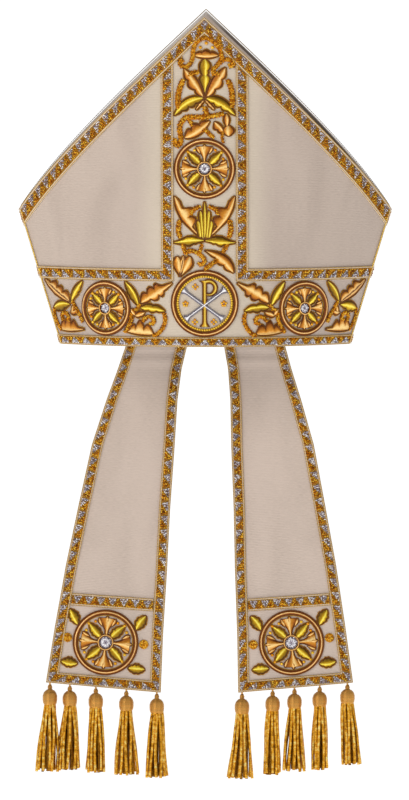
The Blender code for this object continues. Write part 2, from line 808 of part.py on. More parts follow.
# Each tassel, from the outer edge of its lappet inwards: place along the foot, length, spread, lean
TASSELS = {
    "left": (
        (0.036, 1.06, 1.0, 0.27), (0.209, 1.0, 0.9, 0.0), (0.435, 1.01, 0.86, 0.0),
        (0.7, 1.0, 1.12, 0.05), (0.965, 1.0, 0.95, 0.1),
    ),
    "right": (
        (0.05, 0.96, 0.92, 0.42), (0.291, 0.99, 0.8, 0.0), (0.51, 0.98, 1.06, 0.05),
        (0.7, 1.01, 0.8, -0.1), (0.966, 1.03, 1.18, -0.25),
    ),
}


def tassel(name, top, length, spread, lean, skin):
    """A wound head under a bead, and a skirt of strands gathered in locks."""
    sides = 2 * TASSEL_LOCKS
    work = bmesh.new()
    rows = []
    for share, head, skirt, flute in TASSEL_SECTIONS:
        radius = TASSEL_HEAD_RADIUS * head
        radius += (TASSEL_SPREAD * spread - TASSEL_HEAD_RADIUS * head) * skirt
        shift = lean * TASSEL_HEAD_RADIUS * max(share - 0.285, 0.0) / 0.715
        row = []
        for i in range(sides):
            turn = 2 * math.pi * i / sides
            reach = radius * (1 + flute * (1 if i % 2 else -1))
            dip = length * 0.02 * flute / 0.14 * math.cos(2 * turn + 6.2 * top.x / TASSEL_HEAD_RADIUS)
            x = top.x + shift + reach * math.cos(turn)
            row.append(work.verts.new((x, top.y + reach * math.sin(turn), top.z - length * share + dip)))
        rows.append(row)
    for first, second in zip(rows, rows[1:]):
        for i in range(sides):
            j = (i + 1) % sides
            work.faces.new((first[i], first[j], second[j], second[i]))
    work.faces.new(rows[0])
    work.faces.new(rows[-1])
    return add_object(name, finished_mesh(name, work), skin)


def lappet_tassels(hand_name, skin):
    place = on_lappet(hand_name)
    hand = HANDS[hand_name]
    for i, (u, length, spread, lean) in enumerate(TASSELS[hand_name]):
        top = place(u, 1.0, -LAPPET_THICKNESS / 2) - Vector((0, 0, CLEARANCE))
        tassel(f"{hand_name}_tassel_{i + 1}", top, TASSEL_LENGTH * length, spread, lean * hand, skin)


for old in list(bpy.data.objects):
    bpy.data.objects.remove(old)

PARTS = new_collection("mitre")
CUTTERS = new_collection("cutters")
CUTTERS.hide_render = True
ORIGIN = bpy.data.objects.new("rim_centre", None)
PARTS.objects.link(ORIGIN)

SILK = material("silk", (0.58, 0.51, 0.43), 0.5, 0.0)
BRAID = material("gold_and_silver_braid", (0.62, 0.42, 0.12), 0.4, 0.7)
GOLD = material("gold_thread", (0.68, 0.4, 0.05), 0.35, 0.8)
LEMON = material("lemon_gold_thread", (0.55, 0.42, 0.02), 0.35, 0.8)
ROSE = material("rose_gold_thread", (0.6, 0.3, 0.1), 0.35, 0.8)

horn("front_panel", FRONT, SILK)
horn("back_panel", BACK, SILK)
crown_gusset(SILK)
for name, side in (("front", FRONT), ("back", BACK)):
    edge_braid(f"{name}_edge_braid", side, BRAID)
    rim_braid(f"{name}_rim_braid", side, BRAID)
    for hand_name, hand in HANDS.items():
        corner_braid(f"{name}_braid_{hand_name}", side, hand, BRAID)
for hand_name, hand in HANDS.items():
    side_cord(f"side_cord_{hand_name}", hand, GOLD)
    lappet(hand_name, SILK)
    lappet_braids(hand_name, BRAID)
    lappet_square(hand_name, ROSE, GOLD)
    lappet_tassels(hand_name, GOLD)
back_edge_cord(GOLD)
front_embroidery(GOLD, ROSE, LEMON)
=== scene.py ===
import math
import random

import bmesh
import bpy
import numpy as np
from mathutils import Matrix, Vector


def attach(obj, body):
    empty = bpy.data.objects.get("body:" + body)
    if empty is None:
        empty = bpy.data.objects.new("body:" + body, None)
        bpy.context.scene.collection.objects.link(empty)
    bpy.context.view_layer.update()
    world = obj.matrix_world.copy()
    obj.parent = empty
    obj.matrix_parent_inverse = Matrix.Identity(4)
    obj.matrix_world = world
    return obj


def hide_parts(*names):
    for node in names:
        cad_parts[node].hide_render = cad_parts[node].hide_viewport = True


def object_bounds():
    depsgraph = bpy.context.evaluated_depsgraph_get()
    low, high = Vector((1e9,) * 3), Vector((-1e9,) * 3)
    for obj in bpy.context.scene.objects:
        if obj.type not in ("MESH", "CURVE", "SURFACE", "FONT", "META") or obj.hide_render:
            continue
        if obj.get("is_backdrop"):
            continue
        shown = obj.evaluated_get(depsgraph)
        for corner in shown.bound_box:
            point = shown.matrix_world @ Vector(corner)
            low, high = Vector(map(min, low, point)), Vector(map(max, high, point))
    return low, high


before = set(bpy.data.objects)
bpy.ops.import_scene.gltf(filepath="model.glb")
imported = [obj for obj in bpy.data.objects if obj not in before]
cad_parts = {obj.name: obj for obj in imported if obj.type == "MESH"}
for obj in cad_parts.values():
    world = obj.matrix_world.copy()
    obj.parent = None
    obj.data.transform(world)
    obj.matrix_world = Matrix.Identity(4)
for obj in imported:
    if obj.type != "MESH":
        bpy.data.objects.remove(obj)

cad_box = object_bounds()

# The two horns
# Each is a shield-shaped wall of stiffened cloth covered with pale ribbed silk, bent round a cone.
# They are sewn together down the sides and stand open in a V over the head.

GAP = 0.0003
RIM_RADIUS = 0.1824
HALF_ANGLE = math.radians(47)
FLARE = 0.4145
PEAK_HEIGHT = 0.3034
CORNER_HEIGHT = 0.124
WALL = 0.0025
FRONT, BACK = -1, 1
HANDS = {"left": -1, "right": 1}


def lerp(a, b, share):
    return a + (b - a) * share


def smooth(share):
    share = min(max(share, 0.0), 1.0)
    return share * share * (3 - 2 * share)


def arc_radius(z):
    return RIM_RADIUS + FLARE * z


def wall_offset(angle, lift):
    """How much larger the arc's radius is at a lift off the leaning wall."""
    lean = FLARE * (1 - math.cos(HALF_ANGLE) * math.cos(angle))
    return lift * math.sqrt(1 + lean * lean)


def at_angle(side, angle, z, lift):
    radius = arc_radius(z) + wall_offset(angle, lift)
    depth = radius * math.cos(angle) - arc_radius(z) * math.cos(HALF_ANGLE)
    return Vector((radius * math.sin(angle), side * depth, z))


def on_horn(side):
    """Lays a place of the flat pattern on one horn: across, height and lift off the cloth."""
    return lambda across, z, lift: at_angle(side, across / arc_radius(z), z, lift)


def seam_angle(z, lift):
    radius = arc_radius(z)
    reach = radius + wall_offset(HALF_ANGLE, lift)
    return math.acos((radius * math.cos(HALF_ANGLE) + GAP / 2) / reach)


def edge_slope():
    return (PEAK_HEIGHT - CORNER_HEIGHT) / (arc_radius(CORNER_HEIGHT) * HALF_ANGLE)


def edge_height(angle):
    """Height of a horn's sloping edge, which is straight on the flat pattern."""
    turn = abs(angle)
    return (PEAK_HEIGHT - edge_slope() * RIM_RADIUS * turn) / (1 + edge_slope() * FLARE * turn)


def finished(mesh, sharp=40):
    """Turns the faces outwards and shades them smooth, with sharp corners kept."""
    work = bmesh.new()
    work.from_mesh(mesh)
    bmesh.ops.recalc_face_normals(work, faces=work.faces[:])
    if work.calc_volume(signed=True) < 0:
        bmesh.ops.reverse_faces(work, faces=work.faces[:])
    work.to_mesh(mesh)
    work.free()
    mesh.shade_smooth()
    mesh.set_sharp_from_angle(angle=math.radians(sharp))
    return mesh


def cloth_mesh(name, us, vs, place, chart):
    """A closed sheet of cloth on a grid: place(u, v, w) with w 1 on the face side and 0 behind."""
    wide, high = len(us), len(vs)
    corners = [place(u, v, w) for w in (1, 0) for v in vs for u in us]
    spots = [chart(u, v) for _ in (1, 0) for v in vs for u in us]
    back = wide * high
    faces = []
    for j in range(high - 1):
        for i in range(wide - 1):
            a = j * wide + i
            face = (a, a + 1, a + wide + 1, a + wide)
            faces.append(face)
            faces.append(tuple(back + k for k in reversed(face)))
    rim = [i for i in range(wide)] + [j * wide + wide - 1 for j in range(1, high)]
    rim += [(high - 1) * wide + i for i in range(wide - 2, -1, -1)] + [j * wide for j in range(high - 2, 0, -1)]
    for a, b in zip(rim, rim[1:] + rim[:1]):
        faces.append((b, a, back + a, back + b))
    mesh = bpy.data.meshes.new(name)
    mesh.from_pydata(corners, [], faces)
    chart_layer = mesh.uv_layers.new(name="pattern")
    for loop in mesh.loops:
        chart_layer.data[loop.index].uv = spots[loop.vertex_index]
    return finished(mesh)


def add_piece(name, mesh, skin, slot, *nodes):
    """Links a finished mesh, lets it ride on the mitre and stand for the nodes named."""
    made = bpy.data.objects.new(name, mesh)
    if skin is not None:
        mesh.materials.clear()
        mesh.materials.append(skin)
    bpy.context.scene.collection.objects.link(made)
    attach(made, "root")
    if nodes:
        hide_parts(*nodes)
    return made


def linear(code):
    """An sRGB hex colour as linear red, green, blue and alpha."""
    parts = [int(code[i:i + 2], 16) / 255 for i in (0, 2, 4)]
    return tuple(c / 12.92 if c <= 0.04045 else ((c + 0.055) / 1.055) ** 2.4 for c in parts) + (1.0,)


def add_node(tree, kind, sockets=None, stops=None, **settings):
    """Adds a node: sockets maps each input to a value or to the output that feeds it."""
    node = tree.nodes.new(kind)
    for name, value in settings.items():
        setattr(node, name, value)
    for key, value in (sockets or {}).items():
        if isinstance(value, bpy.types.NodeSocket):
            tree.links.new(value, node.inputs[key])
        else:
            node.inputs[key].default_value = value
    for i, (position, colour) in enumerate(stops or ()):
        band = node.color_ramp.elements
        stop = band[i] if i < 2 else band.new(position)
        stop.position, stop.color = position, linear(colour)
    return node


def new_material(name):
    made = bpy.data.materials.new(name)
    made.use_nodes = True
    return made, made.node_tree, made.node_tree.nodes["Principled BSDF"]


def dress(tree, shader, colour, relief, strength, roughness, metallic=0.0, depth=0.0002):
    """Joins a colour and a fine relief to a shader, and sets how it shines."""
    bump = add_node(tree, "ShaderNodeBump", {"Height": relief, "Strength": strength, "Distance": depth})
    tree.links.new(colour, shader.inputs["Base Color"])
    tree.links.new(bump.outputs["Normal"], shader.inputs["Normal"])
    shader.inputs["Roughness"].default_value = roughness
    shader.inputs["Metallic"].default_value = metallic


# The ribs are 0.7 mm apart on the real cloth, and 1.5 mm here so that they show
RIB_SPACING = 0.0015
# The length of one wave of a wave texture whose scale is 1
WAVE_LENGTH = 0.314
# The colour of the warm highlight painted on the silk beside the upright braids
PAINTED_WARM_LIGHT = "e6dac0"


def ribbed_silk(name, face, shade, band):
    """Silk faille: a crisp cloth with fine cross ribs, which give it a dry sheen and faint watering."""
    made, tree, shader = new_material(name)
    chart = add_node(tree, "ShaderNodeUVMap", uv_map="pattern")
    ribs = add_node(
        tree, "ShaderNodeTexWave",
        {"Vector": chart.outputs["UV"], "Scale": WAVE_LENGTH / RIB_SPACING, "Distortion": 1.2, "Detail": 2.0,
         "Detail Scale": 0.6}, bands_direction="Y",
    )
    # Slubs, thicker places in the weft, are about 4 mm long and 0.7 mm high
    fine = add_node(tree, "ShaderNodeMapping", {"Vector": chart.outputs["UV"], "Scale": (260.0, 1500.0, 1.0)})
    slubs = add_node(tree, "ShaderNodeTexNoise", {"Vector": fine.outputs["Vector"], "Scale": 1.0, "Detail": 3.0})
    # The watering runs in patches some 35 mm wide and 110 mm high
    broad = add_node(tree, "ShaderNodeMapping", {"Vector": chart.outputs["UV"], "Scale": (28.0, 9.0, 1.0)})
    watering = add_node(
        tree, "ShaderNodeTexNoise", {"Vector": broad.outputs["Vector"], "Scale": 1.0, "Detail": 2.0, "Distortion": 0.6},
    )
    tone = add_node(tree, "ShaderNodeMath", {0: slubs.outputs["Fac"], 1: 0.55, 2: 0.12}, operation="MULTIPLY_ADD")
    both = add_node(
        tree, "ShaderNodeMath", {0: watering.outputs["Fac"], 1: 0.5, 2: tone.outputs["Value"]},
        operation="MULTIPLY_ADD",
    )
    colour = add_node(
        tree, "ShaderNodeValToRGB", {"Fac": both.outputs["Value"]}, stops=((0.38, shade), (0.72, face)),
    )
    split = add_node(tree, "ShaderNodeSeparateXYZ", {"Vector": chart.outputs["UV"]})
    side = add_node(tree, "ShaderNodeMath", {0: split.outputs["X"]}, operation="ABSOLUTE")
    # A warm highlight is painted on the cloth beside the upright braids, standing for the light it would take where it
    # turns up slightly to them
    near = add_node(
        tree, "ShaderNodeMapRange", {"Value": side.outputs["Value"], "From Min": 0.04, "From Max": 0.068},
        interpolation_type="SMOOTHSTEP",
    )
    far = add_node(
        tree, "ShaderNodeMath", {0: 1.0, 1: near.outputs["Result"]}, operation="SUBTRACT", use_clamp=True,
    )
    amount = add_node(tree, "ShaderNodeMath", {0: far.outputs["Value"], 1: band}, operation="MULTIPLY")
    painted_warm = add_node(
        tree, "ShaderNodeMix",
        {"Factor": amount.outputs["Value"], "A": colour.outputs["Color"], "B": linear(PAINTED_WARM_LIGHT)}, data_type="RGBA",
    )
    relief = add_node(tree, "ShaderNodeMath", {0: ribs.outputs["Fac"], 1: slubs.outputs["Fac"]}, operation="ADD")
    dress(tree, shader, painted_warm.outputs["Result"], relief.outputs["Value"], 0.25, 0.55, depth=0.0003)
    shader.inputs["Sheen Weight"].default_value = 0.25
    shader.inputs["Sheen Roughness"].default_value = 0.4
    return made


# The last number is how strongly the warm highlight is painted beside the braids
silk = ribbed_silk("ivory ribbed silk", "c5b3a5", "af9d90", 0.4)


def lining_painted_lit_to_shaded(name, left, right):
    """Smooth lining twill, with light painted on its left half and shade painted on its right half."""
    made, tree, shader = new_material(name)
    place = add_node(tree, "ShaderNodeTexCoord")
    split = add_node(tree, "ShaderNodeSeparateXYZ", {"Vector": place.outputs["Object"]})
    # The colour runs from painted light on the left to painted shade on the right
    across = add_node(
        tree, "ShaderNodeMapRange", {"Value": split.outputs["X"], "From Min": -0.01, "From Max": 0.02},
    )
    colour = add_node(
        tree, "ShaderNodeMix", {"Factor": across.outputs["Result"], "A": linear(left), "B": linear(right)},
        data_type="RGBA",
    )
    tree.links.new(colour.outputs["Result"], shader.inputs["Base Color"])
    shader.inputs["Roughness"].default_value = 0.7
    return made


lining = lining_painted_lit_to_shaded("brown-grey lining", "e2d8ce", "6a5e54")


def horn(name, side, node):
    """One horn's wall, with the lining as a second material on its inner face."""

    def place(u, v, w):
        lift = -WALL * (1 - w)
        share = 2 * u - 1
        angle = share * seam_angle(v * edge_height(share * HALF_ANGLE), lift)
        return at_angle(side, angle, v * edge_height(angle), lift)

    def chart(u, v):
        angle = (2 * u - 1) * HALF_ANGLE
        z = v * edge_height(angle)
        return angle * arc_radius(z), z

    us = [i / 96 for i in range(97)]
    vs = [j / 30 for j in range(31)]
    made = add_piece(name, cloth_mesh(name, us, vs, place, chart), silk, "silk", node)
    made.data.materials.append(lining)
    for face in made.data.polygons:
        if min(face.vertices) >= len(us) * len(vs):
            face.material_index = 1


horn("silk_front_horn", FRONT, "front_panel")
horn("silk_back_horn", BACK, "back_panel")

# The cloth between the horns
# One piece of the same silk, sewn inside both sloping edges and folded down in a valley between them.
# It lets the mitre shut flat, and lies in soft folds when a head holds it open.

GUSSET_THICKNESS = 0.0012
GUSSET_DROP = 0.004
GUSSET_SLACK = 0.005
GUSSET_ROUNDING = 0.12
GUSSET_FOLD = 0.0016
# The silk's pattern is read this far from the horns' middle, where no warm highlight is painted
PLAIN_SILK = 0.3


def gusset_place(u, v):
    """The folded cloth: u from side to side, and v from the front edge through the valley to the back."""
    widest = HALF_ANGLE - math.asin((WALL + GUSSET_SLACK) / arc_radius(CORNER_HEIGHT))
    angle = (2 * u - 1) * widest
    top = at_angle(FRONT, angle, edge_height(angle) - GUSSET_DROP, -WALL - GAP)
    half = -top.y
    flap = top.z - CORNER_HEIGHT + GUSSET_SLACK
    valley = top.z - math.sqrt(max(flap * flap - half * half, 0.0))
    across = 2 * v - 1
    rise = math.hypot(across, GUSSET_ROUNDING) - GUSSET_ROUNDING
    full = math.hypot(1.0, GUSSET_ROUNDING) - GUSSET_ROUNDING
    ripple = GUSSET_FOLD * (1 - across ** 4) * math.sin(across * 9 + u * 17) * math.sin(math.pi * u) ** 2
    return Vector((top.x, across * half, lerp(valley, top.z, rise / full) + ripple))


def gusset(name, node):
    step = 0.01

    def place(u, v, w):
        low_u, low_v = min(u, 1 - step), min(v, 1 - step)
        along = gusset_place(low_u + step, v) - gusset_place(low_u, v)
        across = gusset_place(u, low_v + step) - gusset_place(u, low_v)
        return gusset_place(u, v) + along.cross(across).normalized() * GUSSET_THICKNESS * w

    def chart(u, v):
        spot = gusset_place(u, v)
        return spot.x + PLAIN_SILK, (2 * v - 1) * 0.15

    us = [i / 64 for i in range(65)]
    vs = [j / 36 for j in range(37)]
    made = add_piece(name, cloth_mesh(name, us, vs, place, chart), silk, "silk", node)


gusset("silk_crown_fold", "crown_gusset")

# The braids
# Flat woven braid in metal thread: a gold ground between paired edge cords, with a thin zigzag cord
# down it, and cut purl sewn in the triangles, silver on one side and gold on the other.

BRAID_WIDTH = 0.0114
RIM_BRAID_WIDTH = 0.009
BRAID_THICKNESS = 0.0013
BRAID_REPEAT = 0.0126
STRIPE_HALF = 0.0285
BAND_HEIGHT = 0.072
SIDE_CORD_INSET, SIDE_CORD_RADIUS = 0.0027, 0.0006
# Across the woven ground, from its inner edge: share of the width, share of the thickness
GROUND_SHARES = (0.0, 0.03, 0.1, 0.17, 0.5, 0.83, 0.9, 0.97, 1.0)
GROUND_RISE = (0.45, 0.8, 0.8, 0.8, 0.75, 0.8, 0.8, 0.8, 0.45)
GROUND_STEP = 0.004
CORD_SHARES = (0.035, 0.155, 0.845, 0.965)
EDGE_CORD_RADIUS, ZIGZAG_RADIUS, CORD_LIFT = 0.00032, 0.0003, 0.0002
CHIP_LENGTH, CHIP_RADIUS = 0.0018, 0.00056
# Rows of chips in a triangle, from its foot: share of the width, chips in the row
CHIP_ROWS = ((0.76, 5), (0.64, 4), (0.52, 3), (0.4, 2), (0.29, 1))
CHIP_SPACING, CHIP_STRAY = 0.13, 0.0004

chance = random.Random(7)


def metal_thread(name, deep, middle, bright, roughness, metallic):
    """Gilt or silvered thread: each cut piece catches the light by itself, so it glitters."""
    made, tree, shader = new_material(name)
    tint = add_node(tree, "ShaderNodeAttribute", attribute_name="tint")
    colour = add_node(
        tree, "ShaderNodeValToRGB", {"Fac": tint.outputs["Fac"]},
        stops=((0.0, deep), (1.0, bright), (0.5, middle)),
    )
    place = add_node(tree, "ShaderNodeTexCoord")
    # The coils of the purl are 0.25 mm apart, drawn at 0.5 mm
    coils = add_node(
        tree, "ShaderNodeTexNoise", {"Vector": place.outputs["Object"], "Scale": 1 / 0.0005, "Detail": 2.0},
    )
    dress(tree, shader, colour.outputs["Color"], coils.outputs["Fac"], 0.4, roughness, metallic)
    return made


gold_purl = metal_thread("gilt cut purl", "8a4400", "e28e00", "ffd648", 0.3, 0.75)
silver_purl = metal_thread("silvered cut purl", "7f7680", "c4bac2", "ffffff", 0.3, 0.5)


def plied_cord(name, dark, light, turn, roughness, metallic):
    """Thread laid in plies, whose twist shows as fine slanting bars of light and shade."""
    made, tree, shader = new_material(name)
    along = add_node(tree, "ShaderNodeAttribute", attribute_name="along")
    # Two plies pass in each turn
    phase = add_node(tree, "ShaderNodeMath", {0: along.outputs["Fac"], 1: 4 * math.pi / turn}, operation="MULTIPLY")
    wave = add_node(tree, "ShaderNodeMath", {0: phase.outputs["Value"]}, operation="SINE")
    height = add_node(tree, "ShaderNodeMath", {0: wave.outputs["Value"], 1: 0.5, 2: 0.5}, operation="MULTIPLY_ADD")
    colour = add_node(
        tree, "ShaderNodeValToRGB", {"Fac": height.outputs["Value"]}, stops=((0.1, dark), (0.75, light)),
    )
    dress(tree, shader, colour.outputs["Color"], height.outputs["Value"], 0.5, roughness, metallic)
    return made


edge_thread = plied_cord("gold edge cord", "8a5a0c", "e0b43c", 0.003, 0.42, 0.45)


def woven_ground(name, dark, light, selvedge):
    """The braid's ground: brown gold between the purl, and a pale selvedge between the edge cords."""
    made, tree, shader = new_material(name)
    chart = add_node(tree, "ShaderNodeUVMap", uv_map="pattern")
    split = add_node(tree, "ShaderNodeSeparateXYZ", {"Vector": chart.outputs["UV"]})
    aside = add_node(tree, "ShaderNodeMath", {0: split.outputs["X"], 1: BRAID_WIDTH / 2}, operation="SUBTRACT")
    beside = add_node(tree, "ShaderNodeMath", {0: aside.outputs["Value"]}, operation="ABSOLUTE")
    edge = add_node(
        tree, "ShaderNodeMapRange",
        {"Value": beside.outputs["Value"], "From Min": 0.32 * BRAID_WIDTH, "From Max": 0.35 * BRAID_WIDTH},
    )
    # Warp and weft are 0.4 mm apart, drawn at 0.8 mm
    weave = add_node(
        tree, "ShaderNodeTexChecker",
        {"Vector": chart.outputs["UV"], "Scale": 1 / 0.0008, "Color1": linear(dark), "Color2": linear(light)},
    )
    both = add_node(
        tree, "ShaderNodeMix", {"Factor": edge.outputs["Result"], "A": weave.outputs["Color"], "B": linear(selvedge)},
        data_type="RGBA",
    )
    dress(tree, shader, both.outputs["Result"], weave.outputs["Fac"], 0.4, 0.5, 0.25)
    return made


braid_ground = woven_ground("gold woven ground", "8a5808", "b47c1c", "dfccb4")


def small_mesh(name, rings, sides):
    """A tiny solid turned about X from rings of (place, radius), with a point at each end."""
    corners, faces = [(rings[0][0], 0.0, 0.0)], []
    for x, radius in rings[1:-1]:
        for k in range(sides):
            turn = 2 * math.pi * k / sides
            corners.append((x, radius * math.cos(turn), radius * math.sin(turn)))
    corners.append((rings[-1][0], 0.0, 0.0))
    for row in range(len(rings) - 3):
        for k in range(sides):
            a, b = 1 + row * sides + k, 1 + row * sides + (k + 1) % sides
            faces.append((a, b, b + sides, a + sides))
    last = len(corners) - 1
    for k in range(sides):
        faces.append((0, 1 + (k + 1) % sides, 1 + k))
        faces.append((last, last - sides + k, last - sides + (k + 1) % sides))
    mesh = bpy.data.meshes.new(name)
    mesh.from_pydata(corners, [], faces)
    return finished(mesh, 80)


def sewing_tree():
    """Geometry nodes that set one small piece on each seed point, turned and sized as the seed says."""
    tree = bpy.data.node_groups.new("sewn pieces", "GeometryNodeTree")
    for label, kind in (("Seeds", "Geometry"), ("Piece", "Object"), ("Size", "Float"), ("Thread", "Material")):
        tree.interface.new_socket(label, in_out="INPUT", socket_type="NodeSocket" + kind)
    tree.interface.new_socket("Sewn", in_out="OUTPUT", socket_type="NodeSocketGeometry")
    given = add_node(tree, "NodeGroupInput").outputs
    turn = add_node(tree, "GeometryNodeInputNamedAttribute", data_type="FLOAT_VECTOR", sockets={"Name": "turn"})
    shape = add_node(tree, "GeometryNodeInputNamedAttribute", data_type="FLOAT_VECTOR", sockets={"Name": "shape"})
    size = add_node(
        tree, "ShaderNodeVectorMath", {"Vector": shape.outputs["Attribute"], "Scale": given["Size"]},
        operation="SCALE",
    )
    piece = add_node(tree, "GeometryNodeObjectInfo", {"Object": given["Piece"]})
    sewn = add_node(
        tree, "GeometryNodeInstanceOnPoints",
        {"Points": given["Seeds"], "Instance": piece.outputs["Geometry"], "Rotation": turn.outputs["Attribute"],
         "Scale": size.outputs["Vector"]},
    )
    real = add_node(tree, "GeometryNodeRealizeInstances", {"Geometry": sewn.outputs["Instances"]})
    dyed = add_node(
        tree, "GeometryNodeSetMaterial", {"Geometry": real.outputs["Geometry"], "Material": given["Thread"]},
    )
    add_node(tree, "NodeGroupOutput", {"Sewn": dyed.outputs["Geometry"]})
    return tree


def laying_tree():
    """Geometry nodes that lay a round or flat twisted thread along each line of a mesh."""
    tree = bpy.data.node_groups.new("laid threads", "GeometryNodeTree")
    for label, kind in (
        ("Lines", "Geometry"), ("Radius", "Float"), ("Flatness", "Float"), ("Turn length", "Float"),
        ("Sides", "Int"), ("Thread", "Material"),
    ):
        tree.interface.new_socket(label, in_out="INPUT", socket_type="NodeSocket" + kind)
    tree.interface.new_socket("Laid", in_out="OUTPUT", socket_type="NodeSocketGeometry")
    given = add_node(tree, "NodeGroupInput").outputs
    line = add_node(tree, "GeometryNodeMeshToCurve", {"Mesh": given["Lines"]})
    spot = add_node(tree, "GeometryNodeSplineParameter")
    turns = add_node(
        tree, "ShaderNodeMath", {0: spot.outputs["Length"], 1: given["Turn length"]}, operation="DIVIDE",
    )
    tilt = add_node(tree, "ShaderNodeMath", {0: turns.outputs["Value"], 1: 2 * math.pi}, operation="MULTIPLY")
    twisted = add_node(
        tree, "GeometryNodeSetCurveTilt", {"Curve": line.outputs["Curve"], "Tilt": tilt.outputs["Value"]},
    )
    marked = add_node(
        tree, "GeometryNodeStoreNamedAttribute",
        {"Geometry": twisted.outputs["Curve"], "Name": "along", "Value": spot.outputs["Length"]},
        data_type="FLOAT", domain="POINT",
    )
    ring = add_node(tree, "GeometryNodeCurvePrimitiveCircle", {"Resolution": given["Sides"], "Radius": 1.0})
    narrow = add_node(
        tree, "ShaderNodeMath", {0: given["Radius"], 1: given["Flatness"]}, operation="MULTIPLY",
    )
    shape = add_node(
        tree, "ShaderNodeCombineXYZ", {"X": given["Radius"], "Y": narrow.outputs["Value"], "Z": 1.0},
    )
    section = add_node(
        tree, "GeometryNodeTransform", {"Geometry": ring.outputs["Curve"], "Scale": shape.outputs["Vector"]},
    )
    tube = add_node(
        tree, "GeometryNodeCurveToMesh",
        {"Curve": marked.outputs["Geometry"], "Profile Curve": section.outputs["Geometry"], "Fill Caps": True},
    )
    dyed = add_node(
        tree, "GeometryNodeSetMaterial", {"Geometry": tube.outputs["Mesh"], "Material": given["Thread"]},
    )
    even = add_node(tree, "GeometryNodeSetShadeSmooth", {"Geometry": dyed.outputs["Geometry"]})
    real = add_node(tree, "GeometryNodeRealizeInstances", {"Geometry": even.outputs["Geometry"]})
    add_node(tree, "NodeGroupOutput", {"Laid": real.outputs["Geometry"]})
    return tree


SEWING, LAYING = sewing_tree(), laying_tree()


def made_by(tree, mesh, values):
    """The plain mesh that a tree of geometry nodes makes of this one."""
    holder = bpy.data.objects.new("holder", mesh)
    bpy.context.scene.collection.objects.link(holder)
    step = holder.modifiers.new("made", "NODES")
    step.node_group = tree
    for item in tree.interface.items_tree:
        if item.in_out == "INPUT" and item.name in values:
            step[item.identifier] = values[item.name]
    holder.update_tag()
    graph = bpy.context.evaluated_depsgraph_get()
    made = bpy.data.meshes.new_from_object(holder.evaluated_get(graph))
    bpy.data.objects.remove(holder)
    return made


def sewn(seeds, unit, thread, size=1.0):
    """Small pieces sewn at seeds of (place, turn, shape, tint)."""
    mesh = bpy.data.meshes.new("seeds")
    mesh.from_pydata([seed[0] for seed in seeds], [], [])
    for name, kind, column in (("turn", "FLOAT_VECTOR", 1), ("shape", "FLOAT_VECTOR", 2), ("tint", "FLOAT", 3)):
        layer = mesh.attributes.new(name, kind, "POINT")
        values = np.array([seed[column] for seed in seeds], dtype=np.float32).ravel()
        layer.data.foreach_set("vector" if kind == "FLOAT_VECTOR" else "value", values)
    return made_by(SEWING, mesh, {"Piece": unit, "Size": size, "Thread": thread})


def laid(lines, radius, thread, flatness=1.0, turn=1.0, sides=6, closed=False):
    """Threads laid along lines of points."""
    corners, edges = [], []
    for line in lines:
        first = len(corners)
        corners += [tuple(point) for point in line]
        edges += [(first + i, first + i + 1) for i in range(len(line) - 1)]
        if closed:
            edges.append((len(corners) - 1, first))
    mesh = bpy.data.meshes.new("lines")
    mesh.from_pydata(corners, edges, [])
    return made_by(
        LAYING, mesh,
        {"Radius": radius, "Flatness": flatness, "Turn length": turn, "Sides": sides, "Thread": thread},
    )


def joined(name, meshes):
    """One mesh from several, each keeping its own material."""
    parts = []
    for mesh in meshes:
        part = bpy.data.objects.new("part", mesh)
        bpy.context.scene.collection.objects.link(part)
        parts.append(part)
    with bpy.context.temp_override(active_object=parts[0], selected_editable_objects=parts):
        bpy.ops.object.join()
    mesh = parts[0].data
    bpy.data.objects.remove(parts[0])
    mesh.name = name
    return mesh


def hidden_unit(mesh):
    """An object kept off the scene that the sewing tree copies."""
    return bpy.data.objects.new(mesh.name, mesh)


chip = hidden_unit(small_mesh("cut purl", ((-0.5, 0), (-0.42, 0.5), (0.42, 0.5), (0.5, 0)), 5))


def turned(along, up, yaw=0.0, lean=0.0):
    """Angles that point a piece's X along a thread and its Z off the cloth, then turn it by yaw."""
    z = up.normalized()
    x = (along - z * along.dot(z)).normalized()
    matrix = Matrix((x, z.cross(x), z)).transposed() @ Matrix.Rotation(yaw, 3, "Z") @ Matrix.Rotation(lean, 3, "Y")
    return tuple(matrix.to_euler())


class BraidRun:
    """A braid's route: distance along it, share of its width from the inner edge, and lift."""

    def __init__(self, outer, inner, place):
        self.outer, self.inner, self.place = np.array(outer), np.array(inner), place
        middle = (self.outer + self.inner) / 2
        steps = np.linalg.norm(np.diff(middle, axis=0), axis=1)
        self.run = np.concatenate(([0.0], np.cumsum(steps)))
        self.length = self.run[-1]

    def at(self, distance, share, lift):
        across, up = (
            float(lerp(*(np.interp(distance, self.run, edge[:, k]) for edge in (self.inner, self.outer)), share))
            for k in (0, 1)
        )
        return self.place(across, up, lift)

    def frame(self, distance, share):
        step = 0.0004
        here = self.at(distance, share, 0.0)
        up = self.at(distance, share, step) - here
        low, high = max(distance - step, 0.0), min(distance + step, self.length)
        along = self.at(high, share, 0.0) - self.at(low, share, 0.0)
        return along, up


